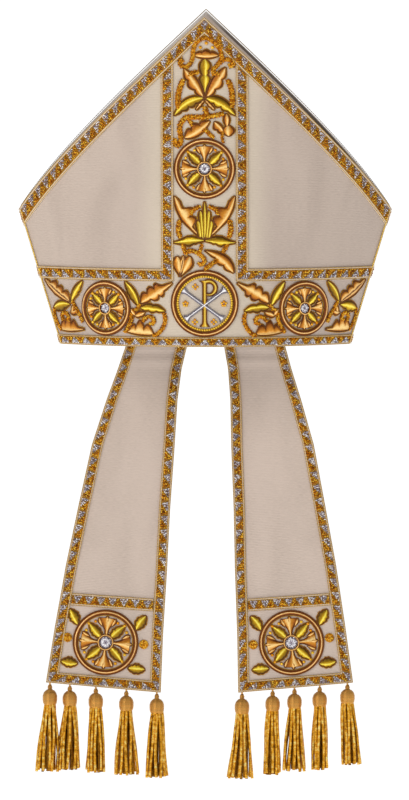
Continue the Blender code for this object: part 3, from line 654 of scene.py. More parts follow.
def braid_work(name, outer, inner, place, silver_outer, node, odd=True):
    """One finished braid: ground, edge cords, zigzag, and silver and gold purl in the triangles."""
    run = BraidRun(outer, inner, place)
    units = max(round(run.length / BRAID_REPEAT), 1)
    if odd and units % 2 == 0:
        units += 1
    repeat = run.length / units
    stops = sorted(set(np.round(np.concatenate((run.run, np.arange(0.0, run.length, GROUND_STEP))), 6)))

    def ground_place(u, v, w):
        lift = GAP + BRAID_THICKNESS * np.interp(u, GROUND_SHARES, GROUND_RISE)
        return run.at(v, u, lift if w else GAP)

    ground = cloth_mesh("ground", GROUND_SHARES, stops, ground_place, lambda u, v: (u * BRAID_WIDTH, v))
    ground.materials.append(braid_ground)

    top = GAP + BRAID_THICKNESS
    lines = [[run.at(d, share, top - CORD_LIFT) for d in stops] for share in CORD_SHARES]
    edges = laid(lines, EDGE_CORD_RADIUS, edge_thread, sides=5)
    low, high = (0.8, 0.21) if silver_outer else (0.2, 0.79)
    corners = [min(k * 0.5 * repeat, run.length) for k in range(2 * units + 1)]
    zigzag = []
    for k, (a, b) in enumerate(zip(corners, corners[1:])):
        start, end = (low, high) if k % 2 == 0 else (high, low)
        for i in range(4):
            zigzag.append(run.at(lerp(a, b, i / 4), lerp(start, end, i / 4), top + CORD_LIFT))
    zigzag.append(run.at(run.length, low, top + CORD_LIFT))
    bars = laid([zigzag], ZIGZAG_RADIUS, edge_thread, sides=5)

    silver, gold = [], []
    for k in range(2 * units + 1):
        heap = silver if k % 2 else gold
        upward = silver_outer if k % 2 else not silver_outer
        centre = k * 0.5 * repeat
        for share, count in CHIP_ROWS:
            across = share if upward else 1 - share
            for i in range(count):
                spot = centre + (i - (count - 1) / 2) * CHIP_SPACING * repeat + chance.uniform(-CHIP_STRAY, CHIP_STRAY)
                if not CHIP_STRAY < spot < run.length - CHIP_STRAY:
                    continue
                along, up = run.frame(spot, across)
                yaw = math.radians(chance.uniform(-90, 90))
                place_at = run.at(spot, across + chance.uniform(-0.03, 0.03), top + chance.uniform(0.0, 0.0006))
                size = CHIP_LENGTH * chance.uniform(0.7, 1.2)
                shape = (size, CHIP_RADIUS * 2, CHIP_RADIUS * 2)
                tint = chance.random()
                heap.append((place_at, turned(along, up, yaw, chance.uniform(-0.5, 0.5)), shape, tint))
    parts = [ground, edges, bars, sewn(silver, chip, silver_purl), sewn(gold, chip, gold_purl)]
    add_piece(name, joined(name, parts), None, "gold_and_silver_braid", node)


def steepness():
    return math.sqrt(1 + edge_slope() ** 2)


def braid_foot(angle):
    return edge_height(angle) - GAP - BRAID_WIDTH * steepness()


def under_edge_braid(across):
    """Height at which an upright braid meets the edge braid, found in a few rounds."""
    z = BAND_HEIGHT
    for _ in range(12):
        z = braid_foot(across / arc_radius(z)) - GAP * steepness()
    return z


def seam_margin(side):
    return SIDE_CORD_INSET + SIDE_CORD_RADIUS + GAP if side == FRONT else 2 * GAP


def side_reach(side, z):
    return arc_radius(z) * HALF_ANGLE - seam_margin(side)


def edge_braid_work(name, side, node):
    stop = HALF_ANGLE - seam_margin(side) / arc_radius(CORNER_HEIGHT)
    outer, inner = [], []
    for i in range(65):
        angle = (2 * i / 64 - 1) * stop
        high, low = edge_height(angle) - GAP, braid_foot(angle)
        outer.append((angle * arc_radius(high), high))
        inner.append((angle * arc_radius(low), low))
    braid_work(name, outer, inner, on_horn(side), True, node)


def corner_braid_work(name, side, hand, node):
    near, far = STRIPE_HALF, STRIPE_HALF + BRAID_WIDTH
    low, high = BAND_HEIGHT - BRAID_WIDTH, BAND_HEIGHT
    outer, inner = [], []
    for i in range(8):
        outer.append((hand * far, lerp(under_edge_braid(far), high, i / 7)))
        inner.append((hand * near, lerp(under_edge_braid(near), low, i / 7)))
    for i in range(1, 17):
        outer.append((hand * lerp(far, side_reach(side, high), i / 16), high))
        inner.append((hand * lerp(near, side_reach(side, low), i / 16), low))
    braid_work(name, outer, inner, on_horn(side), False, node, odd=False)


def rim_braid_work(name, side, node):
    outer, inner = [], []
    for i in range(49):
        share = 2 * i / 48 - 1
        outer.append((share * side_reach(side, RIM_BRAID_WIDTH), RIM_BRAID_WIDTH))
        inner.append((share * side_reach(side, GAP), GAP))
    braid_work(name, outer, inner, on_horn(side), False, node)


for word, side in (("front", FRONT), ("back", BACK)):
    edge_braid_work(f"{word}_edge_braid_work", side, f"{word}_edge_braid")
    rim_braid_work(f"{word}_rim_braid_work", side, f"{word}_rim_braid")
    for hand_name, hand in HANDS.items():
        corner_braid_work(f"{word}_braid_work_{hand_name}", side, hand, f"{word}_braid_{hand_name}")

# The side and edge cords
# Thin piping, a cotton core wound with gilt thread. One is slip-stitched just inside each side seam of
# the front horn, and one painted dull brown as shade along the back horn's sloping edges.

seam_cord = plied_cord("bright gold seam cord", "c58d10", "ffe070", 0.003, 0.35, 0.55)
# The back horn's gilt edge piping is painted dull brown as painted shade
shadow_cord = plied_cord("brown gold edge piping", "5e4420", "b08c4a", 0.004, 0.6, 0.1)


def side_piping(name, hand, node):
    line = []
    for i in range(41):
        z = lerp(SIDE_CORD_RADIUS, CORNER_HEIGHT - SIDE_CORD_RADIUS, i / 40)
        angle = HALF_ANGLE - SIDE_CORD_INSET / arc_radius(z)
        line.append(at_angle(FRONT, hand * angle, z, GAP + SIDE_CORD_RADIUS))
    add_piece(name, laid([line], SIDE_CORD_RADIUS * 1.1, seam_cord, 0.75, 0.004, 8), None, "gold_thread", node)


def edge_piping(name, node):
    stop = HALF_ANGLE - SIDE_CORD_INSET / arc_radius(CORNER_HEIGHT)
    rise = (SIDE_CORD_RADIUS + 2 * GAP) * steepness()
    line = []
    for i in range(201):
        angle = (2 * i / 200 - 1) * stop
        line.append(at_angle(BACK, angle, edge_height(angle) + rise, -WALL / 2))
    add_piece(name, laid([line], SIDE_CORD_RADIUS * 0.7, shadow_cord, 1.0, 0.004, 8), None, "gold_thread", node)


for hand_name, hand in HANDS.items():
    side_piping(f"side_piping_{hand_name}", hand, f"side_cord_{hand_name}")
edge_piping("back_edge_piping", "back_edge_cord")

# The padded rings and the flowers in them
# Rings of cord padding under rose-gold satin stitch, edged with a gold cord whose dark brown is partly painted shade.
# In each is a cross flower of four rose petals and four lemon leaves, with gold knots round a heart of silver purl.

RING_WIDTH, RING_HEIGHT = 0.005, 0.0022
SATIN_ACROSS = (-1.0, -0.88, -0.66, -0.4, -0.16, 0.0, 0.16, 0.4, 0.66, 0.88, 1.0)
OUTLINE_RADIUS = 0.0006


def satin_stitch(name, stops, roughness=0.34):
    """Floss laid side by side over padding, with a highlight painted down the ridge and shade painted at the edges."""
    made, tree, shader = new_material(name)
    chart = add_node(tree, "ShaderNodeUVMap", uv_map="stitch")
    split = add_node(tree, "ShaderNodeSeparateXYZ", {"Vector": chart.outputs["UV"]})
    side = add_node(tree, "ShaderNodeMath", {0: split.outputs["Y"]}, operation="ABSOLUTE")
    slant = add_node(
        tree, "ShaderNodeMath", {0: side.outputs["Value"], 1: 0.0022, 2: split.outputs["X"]},
        operation="MULTIPLY_ADD",
    )
    # The threads are 0.4 mm apart, drawn at 0.8 mm
    phase = add_node(tree, "ShaderNodeMath", {0: slant.outputs["Value"], 1: 2 * math.pi / 0.0008}, operation="MULTIPLY")
    wave = add_node(tree, "ShaderNodeMath", {0: phase.outputs["Value"]}, operation="SINE")
    place = add_node(tree, "ShaderNodeTexCoord")
    # Threads that lie loose or tight change the light every 1.4 mm or so, so the painted highlight and shade shift in
    # patches that size
    loose = add_node(tree, "ShaderNodeTexNoise", {"Vector": place.outputs["Object"], "Scale": 700.0, "Detail": 2.0})
    # The tone runs across the form from painted shade at its left edge, past a painted highlight right of the middle,
    # to darker paint at its right edge
    painted_light_across = add_node(
        tree, "ShaderNodeMath", {0: split.outputs["Y"], 1: 0.5, 2: 0.42}, operation="MULTIPLY_ADD",
    )
    patchy_painted_light = add_node(
        tree, "ShaderNodeMath", {0: loose.outputs["Fac"], 1: 0.16, 2: painted_light_across.outputs["Value"]},
        operation="MULTIPLY_ADD",
    )
    tone = add_node(
        tree, "ShaderNodeMath", {0: wave.outputs["Value"], 1: 0.035, 2: patchy_painted_light.outputs["Value"]},
        operation="MULTIPLY_ADD",
    )
    colour = add_node(tree, "ShaderNodeValToRGB", {"Fac": tone.outputs["Value"]}, stops=stops)
    height = add_node(
        tree, "ShaderNodeMath", {0: wave.outputs["Value"], 1: 0.5, 2: loose.outputs["Fac"]}, operation="MULTIPLY_ADD",
    )
    dress(tree, shader, colour.outputs["Color"], height.outputs["Value"], 0.35, roughness, 0.62)
    return made


# Colours across a form, from its left edge to its right one, the two outer stops first: the dark stops are painted
# shade and the bright ones painted highlights
FLOSS = {
    "rose": satin_stitch("rose gold satin stitch", (
        (0.03, "5a2800"), (0.99, "5a2800"), (0.16, "9a5408"), (0.38, "d48a22"), (0.55, "ffd88c"), (0.64, "ffd88c"),
        (0.8, "d48a22"), (0.93, "9a5408"),
    )),
    "feather": satin_stitch("rose gold feather stitch", (
        (0.03, "5a2800"), (0.99, "5a2800"), (0.2, "c87e1c"), (0.38, "ffd284"), (0.45, "6e3400"), (0.56, "6e3400"),
        (0.64, "ffd284"), (0.8, "b87018"),
    )),
    "ring": satin_stitch("rose gold satin stitch over cord", (
        (0.03, "5c2800"), (0.99, "5c2800"), (0.28, "804000"), (0.43, "be721a"), (0.5, "ffda94"), (0.57, "ffda94"),
        (0.66, "be721a"), (0.8, "804000"),
    )),
    "lemon": satin_stitch("lemon gold satin stitch", (
        (0.03, "4e3400"), (0.99, "5c3e00"), (0.16, "7c5a00"), (0.36, "a47a00"), (0.5, "d8a800"), (0.57, "ffec60"),
        (0.66, "ffec60"), (0.76, "dcac00"), (0.93, "946c00"),
    )),
    "gold": satin_stitch("gold satin stitch", (
        (0.03, "6a3f00"), (0.99, "6a3f00"), (0.16, "a87408"), (0.46, "dca81c"), (0.56, "ffe46a"), (0.64, "ffe46a"),
        (0.74, "dca81c"), (0.92, "a87408"),
    )),
    "silver": satin_stitch("silver satin stitch", (
        (0.03, "6f6878"), (0.99, "6f6878"), (0.16, "a39bab"), (0.4, "dcd8e2"), (0.5, "ffffff"), (0.66, "ffffff"),
        (0.76, "dcd8e2"), (0.92, "a39bab"),
    ), 0.25),
}
# A real couched cord, but its dark brown also stands for the shade between the threads at the satin's edge
outline_thread = plied_cord("dark gold outline cord", "4a2000", "884c00", 0.0022, 0.5, 0.3)
border_thread = plied_cord("gold border thread", "8e5c06", "ecb42c", 0.002, 0.4, 0.5)


def padded(rows, place, thread, closed=False, crease=0.0):
    """A padded form from rows of (centre, side, left half, right half, height), on its flat underside."""
    corners, spots, faces = [], [], []
    run, before = 0.0, rows[0][0]
    for centre, side, left, right, height in rows:
        run += (centre - before).length
        before = centre
        for t in SATIN_ACROSS:
            spot = centre + side * t * (right if t > 0 else left)
            # It rises steeply from its edges and rounds over, and a crease can run along its middle
            dome = (1 - abs(t) ** 2.2) ** 0.6 - crease * math.exp(-((t / 0.13) ** 2))
            corners.append(place(spot.x, spot.y, GAP + height * (0.18 + 0.82 * max(dome, 0.0))))
            spots.append((run, t))
        for t in (1.0, -1.0):
            spot = centre + side * t * (right if t > 0 else left)
            corners.append(place(spot.x, spot.y, GAP))
            spots.append((run, t))
    ring, count = len(SATIN_ACROSS) + 2, len(rows)
    for j in range(count if closed else count - 1):
        for i in range(ring):
            a, b = j * ring + i, j * ring + (i + 1) % ring
            shift = ((j + 1) % count - j) * ring
            faces.append((a, b, b + shift, a + shift))
    if not closed:
        faces.append(tuple(range(ring)))
        faces.append(tuple((count - 1) * ring + i for i in range(ring)))
    mesh = bpy.data.meshes.new("padded")
    mesh.from_pydata(corners, [], faces)
    layer = mesh.uv_layers.new(name="stitch")
    for loop in mesh.loops:
        layer.data[loop.index].uv = spots[loop.vertex_index]
    mesh.materials.append(FLOSS[thread])
    return finished(mesh, 60)


OUTLINE_OUT, OUTLINE_LIFT = 0.0003, 0.0006
BORDER_OUT, BORDER_LIFT, BORDER_RADIUS = 0.0011, 0.0003, 0.00036


def outline_of(rows, place, out=OUTLINE_OUT, lift=OUTLINE_LIFT):
    """The line round a padded form, just outside its edge."""
    right = [centre + side * (wide + out) for centre, side, _, wide, _ in rows]
    left = [centre - side * (wide + out) for centre, side, wide, _, _ in rows]
    return [place(spot.x, spot.y, GAP + lift) for spot in right + left[::-1]]


def edged(forms, place):
    """Both cords round padded forms: a dark one against the satin, its darkness partly painted shade, and a gold one
    outside it.
    """
    dark = laid([outline_of(rows, place) for rows in forms], OUTLINE_RADIUS, outline_thread, sides=5, closed=True)
    gilt = [outline_of(rows, place, BORDER_OUT, BORDER_LIFT) for rows in forms]
    return [dark, laid(gilt, BORDER_RADIUS, border_thread, sides=5, closed=True)]


def ring_rows(radius, half, height, steps=84):
    rows = []
    for i in range(steps):
        turn = 2 * math.pi * i / steps - math.pi / 2
        out = Vector((math.cos(turn), math.sin(turn)))
        rows.append((out * radius, out, half, half, height))
    return rows


def ring_lines(radius, place, lift, steps=84):
    return [
        place(radius * math.cos(2 * math.pi * i / steps), radius * math.sin(2 * math.pi * i / steps), lift)
        for i in range(steps)
    ]


def padded_ring(outer_radius, place):
    """Meshes of a satin ring with its two edge cords."""
    half = RING_WIDTH / 2 - OUTLINE_RADIUS
    middle = outer_radius - RING_WIDTH / 2
    rows = ring_rows(middle, half, RING_HEIGHT)
    edges = [ring_lines(middle + turn * half, place, GAP + 0.0007) for turn in (-1, 1)]
    gilt = [
        ring_lines(outer_radius - 0.0003, place, GAP + 0.0004), ring_lines(middle - half - 0.0009, place, GAP + 0.0003),
    ]
    return [
        padded(rows, place, "ring", closed=True), laid(edges, 0.0007, outline_thread, sides=6, closed=True),
        laid(gilt, 0.0004, border_thread, sides=5, closed=True),
    ]


def ring_work(name, radius, place, node):
    add_piece(name, joined(name, padded_ring(radius, place)), None, "rose_gold_thread", node)


def leaf_rows(base, tip, left, right, bend=0.0, belly=0.42, lobes=(0, 0), depth=0.26, height=0.0019, steps=42):
    """Rows of a leaf. left, right and bend are shares of its length, and lobes counts the scallops a side.

    A half can also be given as its whole outline: (share of the length, half width) from base to tip."""
    start, end = Vector(base), Vector(tip)
    span = end - start
    side = Vector((-span.y, span.x))
    middle = start.lerp(end, 0.5) + side * bend
    power = math.log(0.5) / math.log(belly)
    rows = []
    for i in range(steps + 1):
        s = i / steps
        centre = start * (1 - s) ** 2 + middle * 2 * s * (1 - s) + end * s * s
        heading = ((middle - start) * (1 - s) + (end - middle) * s).normalized()
        fullness = max(math.sin(math.pi * min(max(s, 0.004), 0.996) ** power), 0.0) ** 0.8
        halves = []
        for half, count in ((left, lobes[0]), (right, lobes[1])):
            if isinstance(half, tuple):
                share = float(np.interp(s, [row[0] for row in half], [row[1] for row in half]))
            else:
                share = half * fullness
                if count:
                    share *= 1 - depth * (1 - abs(math.sin(math.pi * count * s)) ** 0.7)
            halves.append(max(share * span.length, 0.00012))
        across = Vector((heading.y, -heading.x))
        rows.append((centre, across, halves[0], halves[1], height * (0.25 + 0.75 * fullness)))
    return rows


knot = hidden_unit(small_mesh("french knot", ((-0.02, 0), (0.0, 0.5), (0.5, 0.44), (0.75, 0.26), (0.8, 0)), 8))


def knots_at(spots, place, radius):
    """Small round knots at pattern places."""
    seeds, shape = [], (radius * 1.4, radius * 2, radius * 2)
    for x, y in spots:
        here, higher = place(x, y, GAP), place(x, y, GAP + 0.001)
        aside = place(x + 0.001, y, GAP)
        seeds.append((here, turned(higher - here, aside - here), shape, chance.uniform(0.5, 0.9)))
    return sewn(seeds, knot, gold_purl)


# This turn from one piece to the next fills a round evenly
GOLDEN_ANGLE = 2.39996


def scattered_purl(centre, radius, place, thread, count):
    """Cut purl heaped at random in a round."""
    seeds = []
    for i in range(count):
        reach, turn = radius * math.sqrt((i + 0.5) / count), i * GOLDEN_ANGLE
        x, y = centre[0] + reach * math.cos(turn), centre[1] + reach * math.sin(turn)
        here = place(x, y, GAP + 0.0011 - 0.0005 * reach / radius)
        up = place(x, y, GAP + 0.002) - place(x, y, GAP + 0.001)
        aside = place(x + 0.001, y, GAP + 0.001) - place(x, y, GAP + 0.001)
        shape = (CHIP_LENGTH * 0.8, CHIP_RADIUS * 1.9, CHIP_RADIUS * 1.9)
        yaw = math.radians(chance.uniform(0, 180))
        seeds.append((here, turned(aside, up, yaw, chance.uniform(-0.3, 0.3)), shape, chance.random()))
    return sewn(seeds, chip, thread)


# Down a cross petal: share of the ring's inner radius, share of the same for the half width
CROSS_PETAL = ((0.24, 0.05), (0.34, 0.045), (0.46, 0.07), (0.58, 0.13), (0.68, 0.2), (0.77, 0.28), (0.84, 0.33),
               (0.88, 0.27))
# The points at its end: angle off the petal in degrees, share of the radius, half width
PETAL_POINTS = ((-20, 0.93, 0.2), (20, 0.93, 0.2), (0, 0.97, 0.2))
# Knots in each quarter: angle in degrees, share of the radius
QUARTER_KNOTS = ((44, 0.92), (60, 0.85), (28, 0.83))
KNOT_RADIUS = 0.0016
PETAL_HEIGHT, POINT_HEIGHT, FLOWER_LEAF_HEIGHT, PETAL_OUTLINE_RADIUS = 0.0015, 0.0018, 0.0017, 0.0004
# The heart is a share of the radius, and its collar a share of the heart
HEART_SHARE, COLLAR_SHARE, COLLAR_HALF, COLLAR_HEIGHT, HEART_PURL = 0.25, 1.05, 0.0009, 0.0024, 26


def flower_work(name, reach, place, node):
    """A cross flower: petals, the leaves between them, knots and a heart."""
    meshes, petals, leaves, knots = [], [], [], []

    def spot(degrees, share):
        angle = math.radians(degrees)
        return Vector((math.cos(angle), math.sin(angle))) * share * reach

    for quarter in range(4):
        degrees = quarter * 90
        out = spot(degrees, 1.0) / reach
        side = Vector((-out.y, out.x))
        petals.append([(out * r * reach, side, half * reach, half * reach, PETAL_HEIGHT) for r, half in CROSS_PETAL])
        for off, share, half in PETAL_POINTS:
            base, tip = spot(degrees + off * 0.8, 0.6), spot(degrees + off, share)
            petals.append(leaf_rows(base, tip, half, half, 0.0, 0.6, height=POINT_HEIGHT, steps=8))
        base, tip = spot(degrees + 45, 0.24), spot(degrees + 45, 0.93)
        leaves.append(leaf_rows(base, tip, 0.24, 0.26, 0.0, 0.42, (4, 4), 0.2, FLOWER_LEAF_HEIGHT, 24))
        knots += [tuple(spot(degrees + angle, share)) for angle, share in QUARTER_KNOTS]
    meshes += [padded(rows, place, "lemon", crease=0.15) for rows in leaves]
    meshes += [padded(rows, place, "rose") for rows in petals]
    meshes += edged(leaves, place)
    lines = [outline_of(rows, place) for rows in petals]
    meshes.append(laid(lines, PETAL_OUTLINE_RADIUS, outline_thread, sides=5, closed=True))
    meshes.append(knots_at(knots, place, KNOT_RADIUS))
    heart = HEART_SHARE * reach
    collar = heart * COLLAR_SHARE
    lines = [ring_lines(collar + 0.001, place, GAP + OUTLINE_LIFT, 36)]
    meshes.append(padded(ring_rows(collar, COLLAR_HALF, COLLAR_HEIGHT, 36), place, "rose", closed=True))
    meshes.append(laid(lines, 0.0005, outline_thread, sides=5, closed=True))
    # A low silver pad under the heaped purl
    meshes.append(padded(ring_rows(heart * 0.4, heart * 0.39, 0.0009, 24), place, "silver", closed=True))
    meshes.append(scattered_purl((0.0, 0.0), heart * 0.85, place, silver_purl, HEART_PURL))
    add_piece(name, joined(name, meshes), None, "gold_thread", node)


def around(place, across, up):
    """Moves the middle of a pattern to a place on the cloth."""
    return lambda x, y, lift: place(across + x, up + y, lift)


front = on_horn(FRONT)
band_low, band_high = RIM_BRAID_WIDTH, BAND_HEIGHT - BRAID_WIDTH
apex = braid_foot(0.0)
monogram_radius = STRIPE_HALF * 1.09
monogram_up = band_low + GAP + monogram_radius
upper_radius = STRIPE_HALF - GAP
upper_up = lerp(BAND_HEIGHT, apex, 0.428)
side_radius = (band_high - band_low) / 2 - GAP
side_up = (band_low + band_high) / 2
side_across = (monogram_radius + side_reach(FRONT, side_up)) / 2

for word, radius, across, up in (
    ("upper", upper_radius, 0.0, upper_up),
    ("left", side_radius, -side_across, side_up),
    ("right", side_radius, side_across, side_up),
):
    on_ring = around(front, across, up)
    ring_work(f"{word}_ring_work", radius, on_ring, f"{word}_roundel")
    flower_work(f"{word}_flower_work", radius - RING_WIDTH, on_ring, f"{word}_flower")

# The monogram
# A gold staff and bowl crossed by two silver bars, in satin stitch over card, inside a rose ring and
# a gold cord. Small rosettes of knots fill the ground.

INNER_CORD_RADIUS = 0.00125
BAR_ENDS = (((-0.85, 0.52), (0.7, -0.62)), ((0.8, 0.55), (-0.74, -0.62)))
# Up the staff: share of the inner radius, half width left, half width right
STAFF = ((-0.93, 0.17, 0.17), (-0.9, 0.15, 0.15), (-0.82, 0.085, 0.085), (-0.7, 0.062, 0.062), (0.72, 0.062, 0.062),
         (0.8, 0.07, 0.062), (0.86, 0.12, 0.062), (0.9, 0.22, 0.07))
BOWL_CENTRE, BOWL_RADIUS, STROKE_HALF = (0.16, 0.61), 0.27, 0.062
BAR_HALF, BAR_FLARE_HALF = 0.041, 0.145
# Rosettes of knots: across, up and the knots in each
ROSETTES = ((-0.37, 0.66, 4), (-0.39, -0.74, 4), (0.36, -0.74, 4), (-0.76, -0.02, 5), (0.76, -0.02, 5))
ROSETTE_RADIUS = 0.085

monogram_place = around(front, 0.0, monogram_up)
inner_radius = monogram_radius - RING_WIDTH - GAP - 0.0011
cord_bright = plied_cord("bright gold laid cord", "b07604", "ffd440", 0.0044, 0.34, 0.6)
silver_outline = plied_cord("grey silk outline cord", "5f5a62", "9a949e", 0.0022, 0.5, 0.2)
ring_work("monogram_ring_work", monogram_radius, monogram_place, "monogram_roundel")
inner_line = ring_lines(inner_radius, monogram_place, GAP + 0.0009, 220)
add_piece(
    "monogram_cord_work", laid([inner_line], INNER_CORD_RADIUS, cord_bright, 0.72, 0.0034, 8, True), None,
    "gold_thread", "monogram_inner_ring",
)


def monogram_work(name, node):
    """The staff and its bowl in gold, the two crossed bars in silver, and the rosettes."""
    reach = inner_radius - INNER_CORD_RADIUS - GAP
    side = Vector((1.0, 0.0))
    staff = [(Vector((0.0, y * reach)), side, left * reach, right * reach, 0.0018) for y, left, right in STAFF]
    meshes, lines = [padded(staff, monogram_place, "gold")], [outline_of(staff, monogram_place)]
    # The bowl starts at the staff's head, goes round to the right and narrows as it comes back
    bowl = []
    for i in range(23):
        turn = math.radians(118 - 10.4 * i)
        out = Vector((math.cos(turn), math.sin(turn)))
        half = reach * STROKE_HALF * (1.0 if i < 15 else lerp(1.0, 0.3, (i - 14) / 8))
        bowl.append(((Vector(BOWL_CENTRE) + out * BOWL_RADIUS) * reach, out, half, half, 0.0017))
    meshes.append(padded(bowl, monogram_place, "gold"))
    lines.append(outline_of(bowl, monogram_place))
    grey = []
    for rank, (start, end) in enumerate(BAR_ENDS):
        a, b = Vector(start) * reach, Vector(end) * reach
        along = (b - a).normalized()
        across = Vector((-along.y, along.x))
        rows = []
        for i in range(25):
            s = i / 24
            # Each bar flares over the last tenth of its length at either end
            flare = max(abs(2 * s - 1) - 0.8, 0.0) / 0.2
            half = reach * lerp(BAR_HALF, BAR_FLARE_HALF, flare ** 1.7)
            rows.append((a.lerp(b, s), across, half, half, 0.0022 + 0.0002 * rank))
        meshes.append(padded(rows, monogram_place, "silver"))
        grey.append(outline_of(rows, monogram_place))
    meshes.append(laid(lines, OUTLINE_RADIUS * 1.1, outline_thread, sides=5, closed=True))
    meshes.append(laid(grey, OUTLINE_RADIUS, silver_outline, sides=5, closed=True))
    for x, y, count in ROSETTES:
        turns = [2 * math.pi * k / count + math.pi / 2 for k in range(count)]
        spots = [
            ((x + ROSETTE_RADIUS * math.cos(turn)) * reach, (y + ROSETTE_RADIUS * math.sin(turn)) * reach)
            for turn in turns
        ]
        meshes.append(knots_at(spots, monogram_place, 0.0013))
    add_piece(name, joined(name, meshes), None, "gold_thread", node)


monogram_work("monogram_work", "monogram")

# The leaves and scrolls of the middle stripe
# Leaves in lemon and rose satin stitch, each edged with a gold cord whose dark brown is partly painted shade, on
# scrolling stems of cut purl sewn close together over a cord.

# Across is a share of the stripe's half width, and up a share of the gap between two rings or below
# the peak. Thread, base across and up, tip across and up, halves as shares of the length, bend,
# belly, scallops left and right, scallop depth
CREST_LEAVES = (
    ("lemon", 0.01, 0.385, 0.01, 0.62, 0.22, 0.22, 0.0, 0.78, 0, 0, 0.0),
    ("lemon", 0.01, 0.53, 0.01, 0.77, 0.22, 0.24, 0.0, 0.66, 0, 2, 0.4),
    ("rose", -0.02, 0.385, -0.65, 0.665, 0.17, 0.15, 0.02, 0.55, 3, 0, 0.55),
    ("rose", 0.05, 0.385, 0.68, 0.68, 0.15, 0.17, -0.02, 0.55, 0, 3, 0.55),
    ("lemon", -0.03, 0.385, -0.97, 0.215, 0.15, 0.16, -0.17, 0.42, 4, 0, 0.5),
    ("lemon", 0.05, 0.385, 0.99, 0.215, 0.16, 0.15, 0.17, 0.42, 0, 4, 0.5),
    ("rose", 0.0, 0.37, -0.28, 0.27, 0.13, 0.13, 0.0, 0.5, 3, 3, 0.6),
    ("rose", 0.02, 0.37, 0.33, 0.27, 0.13, 0.13, 0.0, 0.5, 3, 3, 0.6),
)
CAP_LEAF = (("rose", -0.34, 0.797, 0.46, 0.797, 0.24, 0.1, -0.05, 0.5, 3, 0, 0.35),)
BUD_LEAF = (("rose", -0.64, 0.0, 0.17, 0.165, 0.26, 0.15, -0.08, 0.45, 3, 0, 0.45),)
BERRY_LEAVES = (
    ("rose", 0.66, 0.035, 0.31, 0.155, 0.3, 0.18, 0.0, 0.6, 2, 0, 0.5),
    ("rose", 0.72, 0.09, 0.7, 0.235, 0.2, 0.2, 0.0, 0.6, 0, 0, 0.0),
    ("rose", 0.77, 0.125, 0.77, 0.015, 0.5, 0.5, 0.0, 0.5, 0, 0, 0.0),
)
# Outlines of half a leaf, from its base to its tip: share of the length, half width as a share of it
PLAIN_SIDE = ((0, 0.02), (0.25, 0.03), (0.5, 0.07), (0.75, 0.06), (0.9, 0.03), (1, 0.004))
TWO_LOBES = ((0, 0.02), (0.27, 0.03), (0.29, 0.12), (0.32, 0.18), (0.37, 0.2), (0.42, 0.18), (0.46, 0.12),
             (0.48, 0.11), (0.5, 0.19), (0.54, 0.24), (0.6, 0.25), (0.65, 0.21), (0.68, 0.12), (0.7, 0.08),
             (0.76, 0.075), (0.86, 0.08), (0.94, 0.045), (1, 0.004))
BLADE = ((0, 0.08), (0.3, 0.12), (0.8, 0.16), (0.9, 0.13), (1, 0.01))
LONG_BLADE = ((0, 0.05), (0.5, 0.07), (0.85, 0.08), (0.93, 0.06), (1, 0.01))
LEVEL_UPPER = ((0, 0.02), (0.15, 0.1), (0.35, 0.18), (0.55, 0.18), (0.72, 0.1), (0.85, 0.05), (1, 0.01))
LEVEL_LOWER = ((0, 0.02), (0.2, 0.05), (0.28, 0.09), (0.35, 0.07), (0.45, 0.13), (0.55, 0.14), (0.63, 0.08),
               (0.7, 0.09), (0.8, 0.06), (1, 0.01))
PALM_LEAVES = (
    ("rose", -0.14, 0.47, -0.97, 1.045, PLAIN_SIDE, TWO_LOBES, 0.14, 0.5, 0, 0, 0.0),
    ("rose", 0.14, 0.47, 0.97, 1.045, TWO_LOBES, PLAIN_SIDE, -0.14, 0.5, 0, 0, 0.0),
    ("lemon", -0.13, 0.44, -0.215, 0.7, BLADE, BLADE, 0.0, 0.5, 0, 0, 0.0),
    ("lemon", 0.13, 0.44, 0.215, 0.7, BLADE, BLADE, 0.0, 0.5, 0, 0, 0.0),
    ("lemon", -0.06, 0.44, -0.135, 0.84, LONG_BLADE, LONG_BLADE, 0.0, 0.5, 0, 0, 0.0),
    ("lemon", 0.06, 0.44, 0.135, 0.84, LONG_BLADE, LONG_BLADE, 0.0, 0.5, 0, 0, 0.0),
    ("lemon", 0.0, 0.44, 0.0, 0.97, 0.065, 0.065, 0.0, 0.45, 0, 0, 0.0),
    ("lemon", -0.02, 0.415, -0.99, 0.385, LEVEL_LOWER, LEVEL_UPPER, 0.02, 0.45, 0, 0, 0.0),
    ("lemon", 0.02, 0.415, 0.99, 0.385, LEVEL_UPPER, LEVEL_LOWER, -0.02, 0.45, 0, 0, 0.0),
)
HEART_LEAVES = (
    ("rose", -0.8, -0.105, -0.88, 0.19, 0.26, 0.22, 0.0, 0.66, 0, 0, 0.0),
    ("rose", -0.77, -0.105, -0.46, 0.19, 0.2, 0.26, 0.0, 0.66, 0, 0, 0.0),
    ("feather", -0.79, -0.1, -0.67, 0.2, 0.13, 0.13, 0.0, 0.6, 0, 0, 0.0),
)
LOWER_LEAF = (("rose", 0.0, 0.27, 0.93, -0.05, 0.15, 0.16, 0.2, 0.6, 0, 3, 0.45),)
